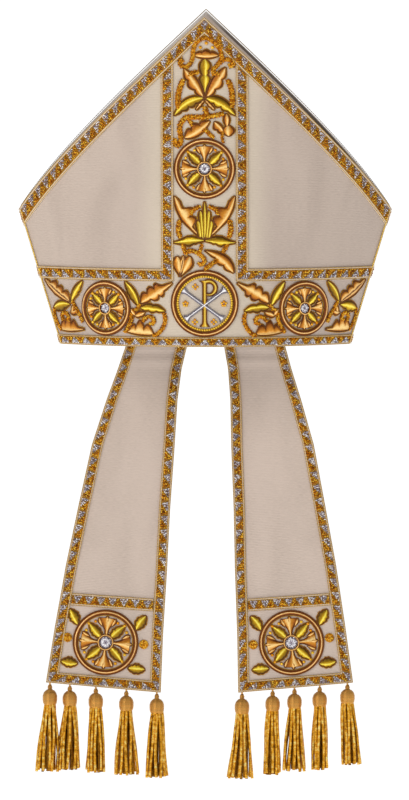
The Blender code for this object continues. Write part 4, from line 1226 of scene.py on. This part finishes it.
# Stems: width in metres, then places along the stem
CREST_STEMS = (
    (0.0042, ((-0.7, 0.735), (-0.73, 0.76), (-0.79, 0.735), (-0.74, 0.695), (-0.6, 0.685), (-0.46, 0.71),
              (-0.38, 0.77), (-0.36, 0.84), (-0.3, 0.9), (-0.15, 0.95), (0.05, 0.965), (0.24, 0.94), (0.4, 0.895),
              (0.51, 0.84), (0.56, 0.78), (0.5, 0.735), (0.36, 0.685), (0.24, 0.64))),
    (0.004, ((0.44, 0.715), (0.6, 0.752), (0.78, 0.757), (0.92, 0.735), (0.93, 0.7), (0.83, 0.69), (0.79, 0.715))),
    (0.0046, ((-0.2, 0.635), (-0.38, 0.625), (-0.5, 0.6))),
    (0.0046, ((0.24, 0.62), (0.36, 0.625), (0.47, 0.6))),
    (0.0052, ((-0.68, 0.56), (-0.79, 0.48), (-0.85, 0.38), (-0.84, 0.29))),
    (0.0052, ((0.74, 0.56), (0.85, 0.48), (0.89, 0.38), (0.87, 0.3))),
    (0.0046, ((-0.56, 0.205), (-0.2, 0.2), (0.1, 0.205), (0.32, 0.215), (0.6, 0.235))),
    (0.005, ((0.0, 0.3), (0.05, 0.25), (0.1, 0.215))),
    (0.0048, ((-0.56, 0.205), (-0.72, 0.16), (-0.8, 0.1), (-0.77, 0.03), (-0.75, -0.03), (-0.84, -0.075),
              (-0.96, -0.05), (-0.93, -0.01))),
    (0.0038, ((-0.56, 0.205), (-0.46, 0.16), (-0.4, 0.12))),
    (0.004, ((-0.06, 0.07), (0.04, 0.075), (0.18, 0.03), (0.3, 0.005))),
    (0.0026, ((0.58, 0.06), (0.56, 0.0), (0.6, -0.045))),
)
PALM_STEMS = (
    (0.0042, ((-0.7, 0.36), (-0.66, 0.3), (-0.6, 0.225))),
    (0.0042, ((-0.6, 0.225), (-0.48, 0.27), (-0.3, 0.255), (-0.12, 0.205), (0.0, 0.14), (-0.03, 0.09),
              (-0.13, 0.07), (-0.2, 0.1))),
    (0.0036, ((-0.09, 0.36), (-0.12, 0.3), (-0.16, 0.25))),
    (0.0042, ((0.72, 0.36), (0.66, 0.3), (0.58, 0.25))),
    (0.0044, ((0.0, 0.0), (0.2, 0.07), (0.42, 0.14))),
    (0.0048, ((-0.8, 0.7), (-0.84, 0.6), (-0.83, 0.52), (-0.78, 0.46))),
    (0.0048, ((0.8, 0.7), (0.84, 0.6), (0.83, 0.52), (0.78, 0.46))),
    (0.0042, ((-0.44, 0.79), (-0.34, 0.86), (-0.14, 0.9))),
    (0.0042, ((0.44, 0.79), (0.34, 0.86), (0.14, 0.9))),
)
CREST_KNOTS = ((-0.13, 0.873), (0.06, 0.915), (0.26, 0.873))


def leafwork(name, table, spot, place, slot, node):
    """Satin leaves and their outlines from a table, as one piece."""
    meshes, forms = [], []
    for thread, base_x, base_y, tip_x, tip_y, left, right, bend, belly, lobes_left, lobes_right, depth in table:
        rows = leaf_rows(
            spot(base_x, base_y), spot(tip_x, tip_y), left, right, bend, belly, (lobes_left, lobes_right), depth,
        )
        # Each leaf stands a little higher than the one before, so that no two faces coincide
        rank = 0.00006 * len(meshes)
        meshes.append(padded([(*row[:4], row[4] + rank) for row in rows], place, thread, crease=0.12))
        forms.append(rows)
    add_piece(name, joined(name, meshes + edged(forms, place)), None, slot, node)


def smooth_line(points, step):
    """Even steps along a smooth curve through a few places."""
    ends = [points[0] * 2 - points[1], *points, points[-1] * 2 - points[-2]]
    dense = []
    for a, b, c, d in zip(ends, ends[1:], ends[2:], ends[3:]):
        for i in range(24):
            s = i / 24
            dense.append(
                0.5 * (2 * b + (c - a) * s + (2 * a - 5 * b + 4 * c - d) * s * s + (3 * b - a - 3 * c + d) * s ** 3)
            )
    dense.append(points[-1])
    flat = np.array([tuple(p) for p in dense])
    run = np.concatenate(([0.0], np.cumsum(np.linalg.norm(np.diff(flat, axis=0), axis=1))))
    count = max(int(run[-1] / step), 3)
    stops = np.linspace(0, run[-1], count + 1)
    return [Vector((np.interp(d, run, flat[:, 0]), np.interp(d, run, flat[:, 1]))) for d in stops]


STEM_STEP, STEM_HEIGHT = 0.0013, 0.0011
STEM_CHIP_LENGTH, STEM_CHIP_SPACING = 0.0017, 0.001


def scrollwork(name, stems, place, knots=()):
    """Stems of (width, places in metres): a padded cord under close rows of cut gold purl."""
    meshes, seeds = [], []
    for width, places in stems:
        line = smooth_line([Vector(p) for p in places], STEM_STEP)
        rows = []
        for i, centre in enumerate(line):
            before, after = line[max(i - 1, 0)], line[min(i + 1, len(line) - 1)]
            heading = (after - before).normalized()
            side = Vector((-heading.y, heading.x))
            end = min(i, len(line) - 1 - i)
            half = width / 2 * min(1.0, 0.72 + 0.2 * end)
            rows.append((centre, side, half * 0.9, half * 0.9, STEM_HEIGHT))
            count = max(round(width / STEM_CHIP_SPACING), 3)
            for k in range(count):
                t = (k + 0.5 + 0.25 * (1 if i % 2 else -1)) / count * 2 - 1
                spot = centre + side * t * half
                lift = GAP + STEM_HEIGHT * (1 - t * t) + 0.0003 + chance.uniform(0, 0.0003)
                here = place(spot.x, spot.y, lift)
                up = place(spot.x, spot.y, 0.001) - place(spot.x, spot.y, 0.0)
                ahead = place(spot.x + heading.x * 0.001, spot.y + heading.y * 0.001, 0.0)
                along = ahead - place(spot.x, spot.y, 0.0)
                yaw = math.radians(90 + chance.uniform(-65, 65))
                shape = (STEM_CHIP_LENGTH * chance.uniform(0.7, 1.2), CHIP_RADIUS * 2.0, CHIP_RADIUS * 2.0)
                # The chips vary at random, and are also painted darker towards the stem's edges as painted shade on its
                # sides
                tint = min(max(chance.random() * (1.05 - 0.35 * abs(t)), 0.0), 1.0)
                seeds.append((here, turned(along, up, yaw, chance.uniform(-0.35, 0.35)), shape, tint))
        meshes.append(padded(rows, place, "gold"))
    meshes.append(sewn(seeds, chip, gold_purl))
    if knots:
        meshes.append(knots_at(knots, place, 0.0017))
    add_piece(name, joined(name, meshes), None, "gold_thread")


crest_low, palm_high = upper_up + upper_radius, upper_up - upper_radius
palm_low = monogram_up + monogram_radius


def crest_spot(across, up):
    return across * STRIPE_HALF, lerp(crest_low, apex, up)


def palm_spot(across, up):
    return across * STRIPE_HALF, lerp(palm_low, palm_high, up)


def on_spots(stems, spot):
    return [(width, [spot(*place) for place in places]) for width, places in stems]


scrollwork(
    "stripe_scrollwork", on_spots(CREST_STEMS, crest_spot) + on_spots(PALM_STEMS, palm_spot), front,
    [crest_spot(*place) for place in CREST_KNOTS],
)
for name, table, spot, slot, node in (
    ("upper_spray_work", CREST_LEAVES, crest_spot, "lemon_gold_thread", "upper_spray"),
    ("cap_leaf_work", CAP_LEAF, crest_spot, "rose_gold_thread", "cap_leaf"),
    ("bud_leaf_work", BUD_LEAF, crest_spot, "rose_gold_thread", "bud_leaf"),
    ("berry_work", BERRY_LEAVES, crest_spot, "rose_gold_thread", "berry_cluster"),
    ("palm_spray_work", PALM_LEAVES, palm_spot, "lemon_gold_thread", "palm_spray"),
    ("heart_bud_work", HEART_LEAVES, palm_spot, "rose_gold_thread", "heart_bud"),
    ("lower_leaf_work", LOWER_LEAF, palm_spot, "rose_gold_thread", "lower_leaf"),
):
    leafwork(name, table, spot, front, slot, node)

# The leaves and scrolls of the brow band
# The same satin leaves and purl stems on each side of the two side rings, worked over felt padding.
# The left hand is a mirror of the right.

ROSE_UPPER = ((0, 0.02), (0.08, 0.14), (0.16, 0.2), (0.23, 0.18), (0.27, 0.12), (0.33, 0.21), (0.41, 0.24),
              (0.47, 0.2), (0.5, 0.14), (0.55, 0.22), (0.62, 0.22), (0.68, 0.13), (0.74, 0.08), (0.86, 0.05),
              (1, 0.005))
ROSE_LOWER = ((0, 0.02), (0.1, 0.06), (0.22, 0.08), (0.28, 0.05), (0.34, 0.14), (0.43, 0.17), (0.49, 0.14),
              (0.52, 0.08), (0.57, 0.16), (0.64, 0.15), (0.7, 0.06), (0.78, 0.06), (0.88, 0.035), (1, 0.005))
FEATHER_UPPER = ((0, 0.03), (0.1, 0.15), (0.2, 0.19), (0.27, 0.16), (0.31, 0.09), (0.37, 0.18), (0.45, 0.19),
                 (0.5, 0.15), (0.53, 0.09), (0.59, 0.19), (0.67, 0.2), (0.74, 0.12), (0.78, 0.06), (0.92, 0.05),
                 (1, 0.01))
FEATHER_LOWER = ((0, 0.02), (0.2, 0.08), (0.5, 0.12), (0.8, 0.08), (1, 0.01))
INNER_FAN = ((0, 0.03), (0.06, 0.17), (0.13, 0.29), (0.22, 0.34), (0.3, 0.31), (0.36, 0.19), (0.41, 0.37),
             (0.49, 0.46), (0.57, 0.46), (0.64, 0.36), (0.68, 0.17), (0.73, 0.28), (0.8, 0.3), (0.87, 0.22),
             (0.91, 0.09), (1, 0.01))
OUTER_FAN = ((0, 0.05), (0.05, 0.22), (0.11, 0.33), (0.18, 0.35), (0.23, 0.2), (0.28, 0.38), (0.35, 0.45),
             (0.42, 0.41), (0.47, 0.2), (0.53, 0.3), (0.6, 0.3), (0.67, 0.2), (0.74, 0.08), (1, 0.01))

# Across is a share of the free space beside a side ring, and up a share of the band
INNER_SPRAY = (
    ("lemon", 0.8, 0.55, 1.15, 0.985, 0.1, 0.2, 0.14, 0.5, 0, 4, 0.2),
    ("rose", 0.74, 0.61, -0.04, 0.97, ROSE_LOWER, ROSE_UPPER, 0.0, 0.52, 0, 0, 0.0),
    ("lemon", 0.76, 0.52, 0.13, 0.46, 0.17, 0.17, -0.12, 0.45, 3, 2, 0.4),
    ("rose", 0.99, 0.5, 0.88, 0.38, 0.3, 0.3, 0.0, 0.5, 0, 0, 0.0),
    ("rose", 0.9, 0.375, 0.64, 0.44, 0.24, 0.3, 0.1, 0.5, 2, 0, 0.3),
)
INNER_LOBED = (("rose", 0.43, 0.05, 1.1, 0.09, INNER_FAN, 0.05, -0.04, 0.42, 0, 0, 0.0),)
INNER_STEMS = (
    (0.0038, ((0.17, 0.43), (0.135, 0.34), (0.16, 0.22), (0.24, 0.12), (0.34, 0.05), (0.43, 0.03))),
    (0.0038, ((0.68, 0.28), (0.62, 0.345), (0.5, 0.365), (0.41, 0.31), (0.44, 0.24), (0.52, 0.245))),
    (0.004, ((0.98, 0.42), (0.98, 0.31), (1.08, 0.16), (1.16, 0.08))),
    (0.0034, ((0.76, 0.58), (0.84, 0.5), (0.94, 0.47))),
)
OUTER_SPRAY = (
    ("lemon", 0.3, 0.6, -0.04, 0.98, 0.17, 0.13, -0.1, 0.5, 4, 0, 0.2),
    ("feather", 0.36, 0.6, 0.93, 0.985, FEATHER_UPPER, FEATHER_LOWER, 0.0, 0.5, 0, 0, 0.0),
    ("lemon", 0.34, 0.545, 0.92, 0.46, 0.17, 0.3, 0.18, 0.55, 0, 3, 0.3),
    ("rose", 0.22, 0.56, 0.3, 0.37, 0.2, 0.2, 0.0, 0.5, 0, 0, 0.0),
    ("rose", 0.12, 0.47, 0.37, 0.42, 0.1, 0.3, -0.3, 0.5, 0, 0, 0.0),
)
OUTER_LOBED = (("rose", 0.86, 0.1, -0.08, 0.11, 0.05, OUTER_FAN, 0.04, 0.4, 0, 0, 0.0),)
OUTER_STEMS = (
    (0.0034, ((0.89, 0.47), (0.94, 0.34), (0.92, 0.2), (0.84, 0.08))),
    (0.0038, ((0.68, 0.26), (0.68, 0.35), (0.56, 0.4), (0.46, 0.35), (0.47, 0.26), (0.53, 0.28))),
    (0.0038, ((0.26, 0.6), (0.16, 0.46), (0.06, 0.36), (-0.02, 0.24))),
)


def mirrored(table):
    """The same leaves for the other hand: left and right halves change places."""
    return [
        (thread, base_x, base_y, tip_x, tip_y, right, left, -bend, belly, lobes_right, lobes_left, depth)
        for thread, base_x, base_y, tip_x, tip_y, left, right, bend, belly, lobes_left, lobes_right, depth in table
    ]


def band_side(hand_name, hand):
    def inner_spot(across, up):
        return hand * lerp(monogram_radius, side_across - side_radius, across), lerp(band_low, band_high, up)

    def outer_spot(across, up):
        z = lerp(band_low, band_high, up)
        return hand * lerp(side_across + side_radius, side_reach(FRONT, z), across), z

    for zone, spray, lobed, stems, spot in (
        ("inner", INNER_SPRAY, INNER_LOBED, INNER_STEMS, inner_spot),
        ("outer", OUTER_SPRAY, OUTER_LOBED, OUTER_STEMS, outer_spot),
    ):
        if hand < 0:
            spray, lobed = mirrored(spray), mirrored(lobed)
        word = f"{hand_name}_{zone}"
        leafwork(f"{word}_spray_work", spray, spot, front, "lemon_gold_thread", f"{word}_spray")
        leafwork(f"{word}_lobed_work", lobed, spot, front, "rose_gold_thread", f"{word}_lobed_leaf")
        scrollwork(f"{word}_scrollwork", on_spots(stems, spot), front)


for hand_name, hand in HANDS.items():
    band_side(hand_name, hand)

# The two lappets
# Bands of doubled silk sewn inside the rim of the back horn, so that they hang down behind the neck.
# They swing outwards and widen downwards, with braid round them and an embroidered square at the foot.

LAPPET_LENGTH = 0.321
LAPPET_TUCK = 0.012
LAPPET_THICKNESS = 0.002
LAPPET_OFFSET = 0.0442
LAPPET_TOP_WIDTH, LAPPET_BOTTOM_WIDTH = 0.0565, 0.1064
LAPPET_TILT = 0.0094
LAPPET_SWING = {"left": 0.0505, "right": 0.039}
LAPPET_BRAID_WIDTH = 0.01
CROSS_BRAID_WIDTH = BRAID_WIDTH
SQUARE_HEIGHT = 0.0737
LAPPET_RING_RADIUS = 0.0304
# How far each ring sits off its lappet's middle, towards the outer edge
RING_ASIDE = {"left": 0.0021, "right": -0.0007}
# The same ribbed silk, painted lighter to stand for the brighter light on the lappets, and without the warm highlight
lappet_silk_painted_lighter = ribbed_silk("paler ribbed silk of the lappets", "d3c0b2", "bdab9d", 0.0)
# Down a lappet from the rim: share of the length, share of the swing outwards, share of the widening
LAPPET_SHAPE = (
    (0.0, 0.0, 0.0), (0.08, 0.147, 0.045), (0.17, 0.289, 0.18), (0.302, 0.45, 0.4), (0.48, 0.614, 0.565),
    (0.657, 0.76, 0.745), (0.834, 0.895, 0.874), (1.0, 1.0, 1.0),
)
LAPPET_FLAT_FROM = 0.6
# Folds near the rim: share of the length, how far the cloth stands forward, half length
LAPPET_FOLDS = ((0.018, 0.0016, 0.012), (0.055, 0.0012, 0.014), (0.3, 0.0012, 0.12))


def lappet_state(drop):
    """Shares of the swing and of the widening, at a share of the length down a lappet."""
    shares = [row[0] for row in LAPPET_SHAPE]
    return tuple(float(np.interp(drop, shares, [row[k] for row in LAPPET_SHAPE])) for k in (1, 2))


def lappet_width(drop):
    return lerp(LAPPET_TOP_WIDTH, LAPPET_BOTTOM_WIDTH, lappet_state(drop)[1])


def wall_depth(across, z):
    """How far behind the middle the inside of the back horn lies."""
    z, lift, angle = max(z, 0.0), -WALL - GAP, 0.0
    for _ in range(4):
        angle = math.asin(min(abs(across) / (arc_radius(z) + wall_offset(angle, lift)), 0.95))
    return at_angle(BACK, angle, z, lift).y


def on_lappet(hand_name):
    """Lays a place on a lappet: metres from its middle towards the other one, metres down, lift forward."""
    hand = HANDS[hand_name]

    def place(aside, down, lift):
        drop = down / LAPPET_LENGTH
        swing, _ = lappet_state(drop)
        u = 0.5 + aside / lappet_width(drop)
        across = LAPPET_OFFSET + LAPPET_SWING[hand_name] * swing - aside
        z = -down - LAPPET_TILT * max(drop, 0.0) * (u - 0.5)
        at_rim = LAPPET_OFFSET + LAPPET_TOP_WIDTH * (0.5 - u)
        depth = lerp(wall_depth(at_rim, z), wall_depth(LAPPET_OFFSET, 0.0), smooth(drop / LAPPET_FLAT_FROM))
        fold = sum(proud * math.exp(-(((drop - at) / half) ** 2)) for at, proud, half in LAPPET_FOLDS)
        return Vector((hand * across, depth - LAPPET_THICKNESS - lift - fold, z))

    return place


def lappet_cloth(hand_name):
    on_cloth = on_lappet(hand_name)

    def place(u, down, w):
        return on_cloth((u - 0.5) * lappet_width(down / LAPPET_LENGTH), down, -LAPPET_THICKNESS * (1 - w))

    def chart(u, down):
        return PLAIN_SILK + (u - 0.5) * lappet_width(down / LAPPET_LENGTH), -down

    us = [i / 20 for i in range(21)]
    downs = [-LAPPET_TUCK + (LAPPET_LENGTH + LAPPET_TUCK) * j / 110 for j in range(111)]
    name = f"{hand_name}_silk_lappet"
    made = add_piece(name, cloth_mesh(name, us, downs, place, chart), lappet_silk_painted_lighter, "silk", f"{hand_name}_lappet")


def lappet_braid_work(hand_name):
    """The braid round three sides of a lappet, and the one across above the square."""
    on_cloth = on_lappet(hand_name)

    def beside(down, reach):
        return lappet_width(down / LAPPET_LENGTH) / 2 - reach

    foot = LAPPET_LENGTH - GAP
    inner_foot = foot - LAPPET_BRAID_WIDTH
    top = -0.6 * LAPPET_TUCK
    steps = 40
    downs = [(lerp(top, foot, i / steps), lerp(top, inner_foot, i / steps)) for i in range(steps + 1)]
    outer = [(-beside(low, GAP), low) for low, _ in downs]
    inner = [(-beside(high, GAP + LAPPET_BRAID_WIDTH), high) for _, high in downs]
    for i in range(1, 12):
        across = 2 * i / 12 - 1
        outer.append((across * beside(foot, GAP), foot))
        inner.append((across * beside(inner_foot, GAP + LAPPET_BRAID_WIDTH), inner_foot))
    outer += [(beside(low, GAP), low) for low, _ in reversed(downs)]
    inner += [(beside(high, GAP + LAPPET_BRAID_WIDTH), high) for _, high in reversed(downs)]
    braid_work(f"{hand_name}_lappet_border_work", outer, inner, on_cloth, True, f"{hand_name}_lappet_border")

    low = LAPPET_LENGTH - SQUARE_HEIGHT
    high = low - CROSS_BRAID_WIDTH
    outer, inner = [], []
    for i in range(13):
        across = 2 * i / 12 - 1
        outer.append((across * beside(high, 3 * GAP + LAPPET_BRAID_WIDTH), high))
        inner.append((across * beside(low, 3 * GAP + LAPPET_BRAID_WIDTH), low))
    braid_work(f"{hand_name}_lappet_cross_work", outer, inner, on_cloth, True, f"{hand_name}_lappet_cross_braid")


# Leaves round a lappet's ring: base and tip as angle and share of the ring's radius, halves, bend
CORNER_LEAVES = (
    (153.0, 1.0, 142.0, 1.48, 0.28, 0.3, -0.05),
    (27.5, 1.0, 38.0, 1.49, 0.3, 0.28, 0.05),
    (224.0, 1.04, 209.5, 1.46, 0.24, 0.34, 0.1),
    (-42.0, 1.06, -27.5, 1.47, 0.34, 0.24, -0.1),
)
# Purl discs at the ring's two sides: angle, share of the ring's radius
SIDE_DISCS = ((178.0, 1.165), (2.5, 1.165))
SIDE_DISC_RADIUS = 0.0039


def lappet_square_work(hand_name):
    """A ring with its flower, four leaves round it and a disc on either side."""
    radius = LAPPET_RING_RADIUS
    down = LAPPET_LENGTH - (SQUARE_HEIGHT + LAPPET_BRAID_WIDTH) / 2
    centre = on_lappet(hand_name)(-RING_ASIDE[hand_name], down, 0.0)
    tilt = math.atan(LAPPET_TILT / lappet_width(1.0))

    def place(x, y, lift):
        across = x * math.cos(tilt) - y * math.sin(tilt)
        up = x * math.sin(tilt) + y * math.cos(tilt)
        return Vector((centre.x + HANDS[hand_name] * across, centre.y - lift, centre.z + up))

    def spot(degrees, share):
        turn = math.radians(degrees)
        return Vector((math.cos(turn), math.sin(turn))) * radius * share

    forms = [
        leaf_rows(spot(base, near), spot(tip, far), left, right, bend, 0.5, (4, 4), 0.24)
        for base, near, tip, far, left, right, bend in CORNER_LEAVES
    ]
    discs = []
    for degrees, share in SIDE_DISCS:
        middle = spot(degrees, share)
        at_disc = around(place, middle.x, middle.y)
        pad = ring_rows(SIDE_DISC_RADIUS * 0.5, SIDE_DISC_RADIUS * 0.48, 0.001, 24)
        rim = [ring_lines(SIDE_DISC_RADIUS, at_disc, GAP + 0.0004, 30)]
        discs.append(scattered_purl(tuple(middle), SIDE_DISC_RADIUS, place, gold_purl, 40))
        discs.append(padded(pad, at_disc, "gold", True))
        discs.append(laid(rim, 0.0005, border_thread, sides=5, closed=True))
    leaves = [padded(rows, place, "lemon", crease=0.12) for rows in forms]
    name = f"{hand_name}_lappet_ring_work"
    meshes = padded_ring(radius, place) + leaves + edged(forms, place) + discs
    add_piece(name, joined(name, meshes), None, "rose_gold_thread", f"{hand_name}_lappet_roundel")
    flower_work(f"{hand_name}_lappet_flower_work", radius - RING_WIDTH, place, f"{hand_name}_lappet_flower")


for hand_name in HANDS:
    lappet_cloth(hand_name)
    lappet_braid_work(hand_name)
    lappet_square_work(hand_name)

# The tassels
# Five under each lappet: a bead on a thread, a wooden mould wound over with gilt thread, and a skirt
# of twisted bullion strands that hang freely from it.

TASSEL_LENGTH = 0.079
TASSEL_HEAD_RADIUS = 0.0066
TASSEL_SPREAD = 0.01
# Down a head: share of the tassel's length, radius as a share of the head's
HEAD_PROFILE = ((0.012, 0.05), (0.02, 0.2), (0.045, 0.32), (0.062, 0.26), (0.07, 0.3), (0.083, 0.6), (0.108, 0.86),
                (0.143, 1.0), (0.19, 1.0), (0.225, 0.93), (0.24, 0.82), (0.245, 0.4), (0.246, 0.02))
# Strands in each layer from the outside, share of the skirt's radius
STRANDS = ((11, 1.0), (7, 0.6), (2, 0.2))
STRAND_RADIUS = 0.00135
SKIRT_TOP = 0.225
# The winding's turns, its steps in a turn, where it starts and ends down the tassel, its radius
TURNS, TURN_STEPS, WOUND_FROM, WOUND_TO, WINDING_RADIUS = 17, 18, 0.02, 0.24, 0.00048
# Each tassel, from the outer edge of its lappet inwards: place along the foot, length, spread, lean
TASSELS = {
    "left": (
        (0.036, 1.04, 1.15, 0.36), (0.209, 1.0, 1.22, 0.2), (0.435, 1.0, 1.0, 0.0), (0.7, 1.0, 1.25, 0.03),
        (0.965, 1.0, 1.14, 0.08),
    ),
    "right": (
        (0.05, 0.96, 1.04, 0.48), (0.291, 0.985, 0.88, 0.0), (0.51, 0.975, 1.18, -0.1), (0.7, 1.0, 0.9, -0.19),
        (0.966, 1.02, 1.3, -0.32),
    ),
}


def bullion(name, dark, middle, bright):
    """Twisted gold strand: fine slanting coils, brighter and duller in patches along it."""
    made, tree, shader = new_material(name)
    along = add_node(tree, "ShaderNodeAttribute", attribute_name="along")
    # The coils are 0.5 mm apart, drawn at 1.6 mm
    phase = add_node(tree, "ShaderNodeMath", {0: along.outputs["Fac"], 1: 2 * math.pi / 0.0016}, operation="MULTIPLY")
    wave = add_node(tree, "ShaderNodeMath", {0: phase.outputs["Value"]}, operation="SINE")
    place = add_node(tree, "ShaderNodeTexCoord")
    # Brighter and duller patches are about 3 mm long
    patch = add_node(tree, "ShaderNodeTexNoise", {"Vector": place.outputs["Object"], "Scale": 300.0, "Detail": 2.0})
    tone = add_node(
        tree, "ShaderNodeMath", {0: wave.outputs["Value"], 1: 0.02, 2: patch.outputs["Fac"]},
        operation="MULTIPLY_ADD",
    )
    colour = add_node(
        tree, "ShaderNodeValToRGB", {"Fac": tone.outputs["Value"]},
        stops=((0.25, dark), (0.72, bright), (0.5, middle)),
    )
    dress(tree, shader, colour.outputs["Color"], wave.outputs["Value"], 0.2, 0.3, 0.7)
    return made


strand_gold = bullion("twisted gold bullion", "9a6000", "f0ac20", "ffe888")
# The inner strands are the same gold, painted darker as painted shade inside the skirt
shaded_core_gold = bullion("dull gold strands inside the skirt", "6a4200", "966400", "c08a14")
# This thread is so fine that its plies don't show, so one turn is longer than all of it
head_gold = plied_cord("gilt winding thread", "8e5810", "f0b458", 8.0, 0.28, 0.65)
# The mould is painted dark so that the gaps between the windings show as painted shade
mould_gold = plied_cord("dark gilt under the winding", "5a3606", "7a4c10", 0.004, 0.5, 0.3)


def turned_head(top, length):
    """The solid mould and bead, turned about the tassel's own line."""
    sides = 20
    turns = [2 * math.pi * i / sides for i in range(sides)]
    corners = [
        (top.x + TASSEL_HEAD_RADIUS * share * math.cos(turn), top.y + TASSEL_HEAD_RADIUS * share * math.sin(turn),
         top.z - length * down)
        for down, share in HEAD_PROFILE for turn in turns
    ]
    faces = []
    for row in range(len(HEAD_PROFILE) - 1):
        for i in range(sides):
            a, b = row * sides + i, row * sides + (i + 1) % sides
            faces.append((a, b, b + sides, a + sides))
    last = (len(HEAD_PROFILE) - 1) * sides
    faces += [tuple(range(sides)), tuple(last + i for i in range(sides))]
    mesh = bpy.data.meshes.new("head")
    mesh.from_pydata(corners, [], faces)
    mesh.materials.append(mould_gold)
    return finished(mesh, 60)


def tassel_work(name, top, length, spread, lean, node):
    """One tassel: mould, winding, the thread that it hangs from, and its strands."""
    downs, radii = [row[0] for row in HEAD_PROFILE], [row[1] for row in HEAD_PROFILE]
    winding = []
    for i in range(TURNS * TURN_STEPS + 1):
        down = lerp(WOUND_FROM, WOUND_TO, i / (TURNS * TURN_STEPS))
        reach = TASSEL_HEAD_RADIUS * np.interp(down, downs, radii) - 0.0001
        turn = 2 * math.pi * i / TURN_STEPS
        winding.append((top.x + reach * math.cos(turn), top.y + reach * math.sin(turn), top.z - length * down))
    hanger = [(top.x, top.y, top.z + drop) for drop in (GAP * 0.8, -length * 0.01, -length * 0.02)]
    strands = []
    for count, layer in STRANDS:
        for k in range(count):
            turn = 2 * math.pi * (k + chance.uniform(-0.2, 0.2)) / count + layer * 3
            # Each strand starts under the head, spreads to the skirt's foot, and sways a little on the way
            start = TASSEL_HEAD_RADIUS * 0.66 * layer
            end = (TASSEL_SPREAD * spread * 0.95 - STRAND_RADIUS) * layer * chance.uniform(0.9, 1.08)
            foot = length * (1 - chance.uniform(0.0, 0.035))
            sway, swing = chance.uniform(0, 6.28), chance.uniform(0.0002, 0.0008)
            line = []
            for i in range(20):
                s = i / 19
                down = lerp(length * SKIRT_TOP, foot, s)
                reach = lerp(start, end, s ** 0.8) + swing * math.sin(s * 5 + sway)
                shift = lean * TASSEL_HEAD_RADIUS * s
                twist = turn + 0.12 * math.sin(s * 4 + sway)
                line.append((top.x + shift + reach * math.cos(twist), top.y + reach * math.sin(twist), top.z - down))
            strands.append(line)
    outer = STRANDS[0][0]
    meshes = [
        turned_head(top, length), laid([winding], WINDING_RADIUS, head_gold, sides=5),
        laid([hanger], 0.0009, head_gold, sides=6), laid(strands[:outer], STRAND_RADIUS, strand_gold, sides=8),
        laid(strands[outer:], STRAND_RADIUS, shaded_core_gold, sides=6),
    ]
    add_piece(name, joined(name, meshes), None, "gold_thread", node)


for hand_name, hand in HANDS.items():
    on_cloth = on_lappet(hand_name)
    for i, (u, length, spread, lean) in enumerate(TASSELS[hand_name]):
        top = on_cloth((u - 0.5) * LAPPET_BOTTOM_WIDTH, LAPPET_LENGTH, -LAPPET_THICKNESS / 2) - Vector((0, 0, GAP))
        name, node = f"{hand_name}_tassel_work_{i + 1}", f"{hand_name}_tassel_{i + 1}"
        tassel_work(name, top, TASSEL_LENGTH * length, spread, lean * hand, node)

# The floor, the lights and the camera
# A plain pale floor lies well under the tassels, which hang free of it. Three large soft lights and a
# pale room light the mitre, and a long lens looks at it from in front.

FLOOR_HEIGHT = -0.75
CAMERA_DISTANCE, CAMERA_HEIGHT, CAMERA_TURN = 12.0, 0.629, math.radians(0.47)
FRAME_HEIGHT = 0.736
FLOOR_REACH, SENSOR = 150, 36.0
AIM = Vector((-0.0007, 0.0, -0.0518))

floor_paint, tree, shader = new_material("matt white painted floor")
shader.inputs["Base Color"].default_value = linear("f6f6f6")
shader.inputs["Roughness"].default_value = 0.9
shader.inputs["Emission Color"].default_value = (1.0, 1.0, 1.0, 1.0)
shader.inputs["Emission Strength"].default_value = 0.72
mesh = bpy.data.meshes.new("floor")
mesh.from_pydata(
    [(x * FLOOR_REACH, y * FLOOR_REACH, FLOOR_HEIGHT) for x, y in ((-1, -1), (1, -1), (1, 1), (-1, 1))], [],
    [(0, 1, 2, 3)],
)
mesh.materials.append(floor_paint)
floor = bpy.data.objects.new("floor", mesh)
bpy.context.scene.collection.objects.link(floor)
floor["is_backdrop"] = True

world = bpy.data.worlds.new("soft room")
bpy.context.scene.world = world
world.use_nodes = True
tree = world.node_tree
room = tree.nodes["Background"]
way = add_node(tree, "ShaderNodeTexCoord")
split = add_node(tree, "ShaderNodeSeparateXYZ", {"Vector": way.outputs["Generated"]})
back = add_node(
    tree, "ShaderNodeMapRange",
    {"Value": split.outputs["Y"], "From Min": -1.0, "From Max": 0.6, "To Min": 0.22, "To Max": 0.5},
)
tree.links.new(back.outputs["Result"], room.inputs["Strength"])
room.inputs["Color"].default_value = (1.0, 1.0, 1.0, 1.0)

for name, spot, size, power, colour in (
    ("key", (-1.3, -1.7, 1.0), 0.8, 14.5, (1.0, 0.98, 0.95)),
    ("fill", (2.0, -2.3, 0.5), 1.6, 4.0, (0.98, 0.98, 1.0)),
    ("top", (0.2, 0.6, 2.4), 1.4, 8.0, (1.0, 1.0, 1.0)),
):
    lamp = bpy.data.lights.new(name, "AREA")
    lamp.size, lamp.energy, lamp.color = size, power, colour
    light = bpy.data.objects.new(name, lamp)
    light.location = spot
    light.rotation_euler = (-Vector(spot)).to_track_quat("-Z", "Y").to_euler()
    bpy.context.scene.collection.objects.link(light)

lens = bpy.data.cameras.new("camera")
camera = bpy.data.objects.new("camera", lens)
camera.location = (
    CAMERA_DISTANCE * math.sin(CAMERA_TURN), -CAMERA_DISTANCE * math.cos(CAMERA_TURN), CAMERA_HEIGHT,
)
camera.rotation_euler = (AIM - camera.location).to_track_quat("-Z", "Y").to_euler()
lens.sensor_width = lens.sensor_height = SENSOR
lens.lens = SENSOR * (AIM - camera.location).length / FRAME_HEIGHT
lens.clip_end = 400.0
bpy.context.scene.collection.objects.link(camera)
bpy.context.scene.camera = camera
bpy.context.scene.view_settings.view_transform = "Standard"

[[list(corner) for corner in box] for box in (cad_box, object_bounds())]
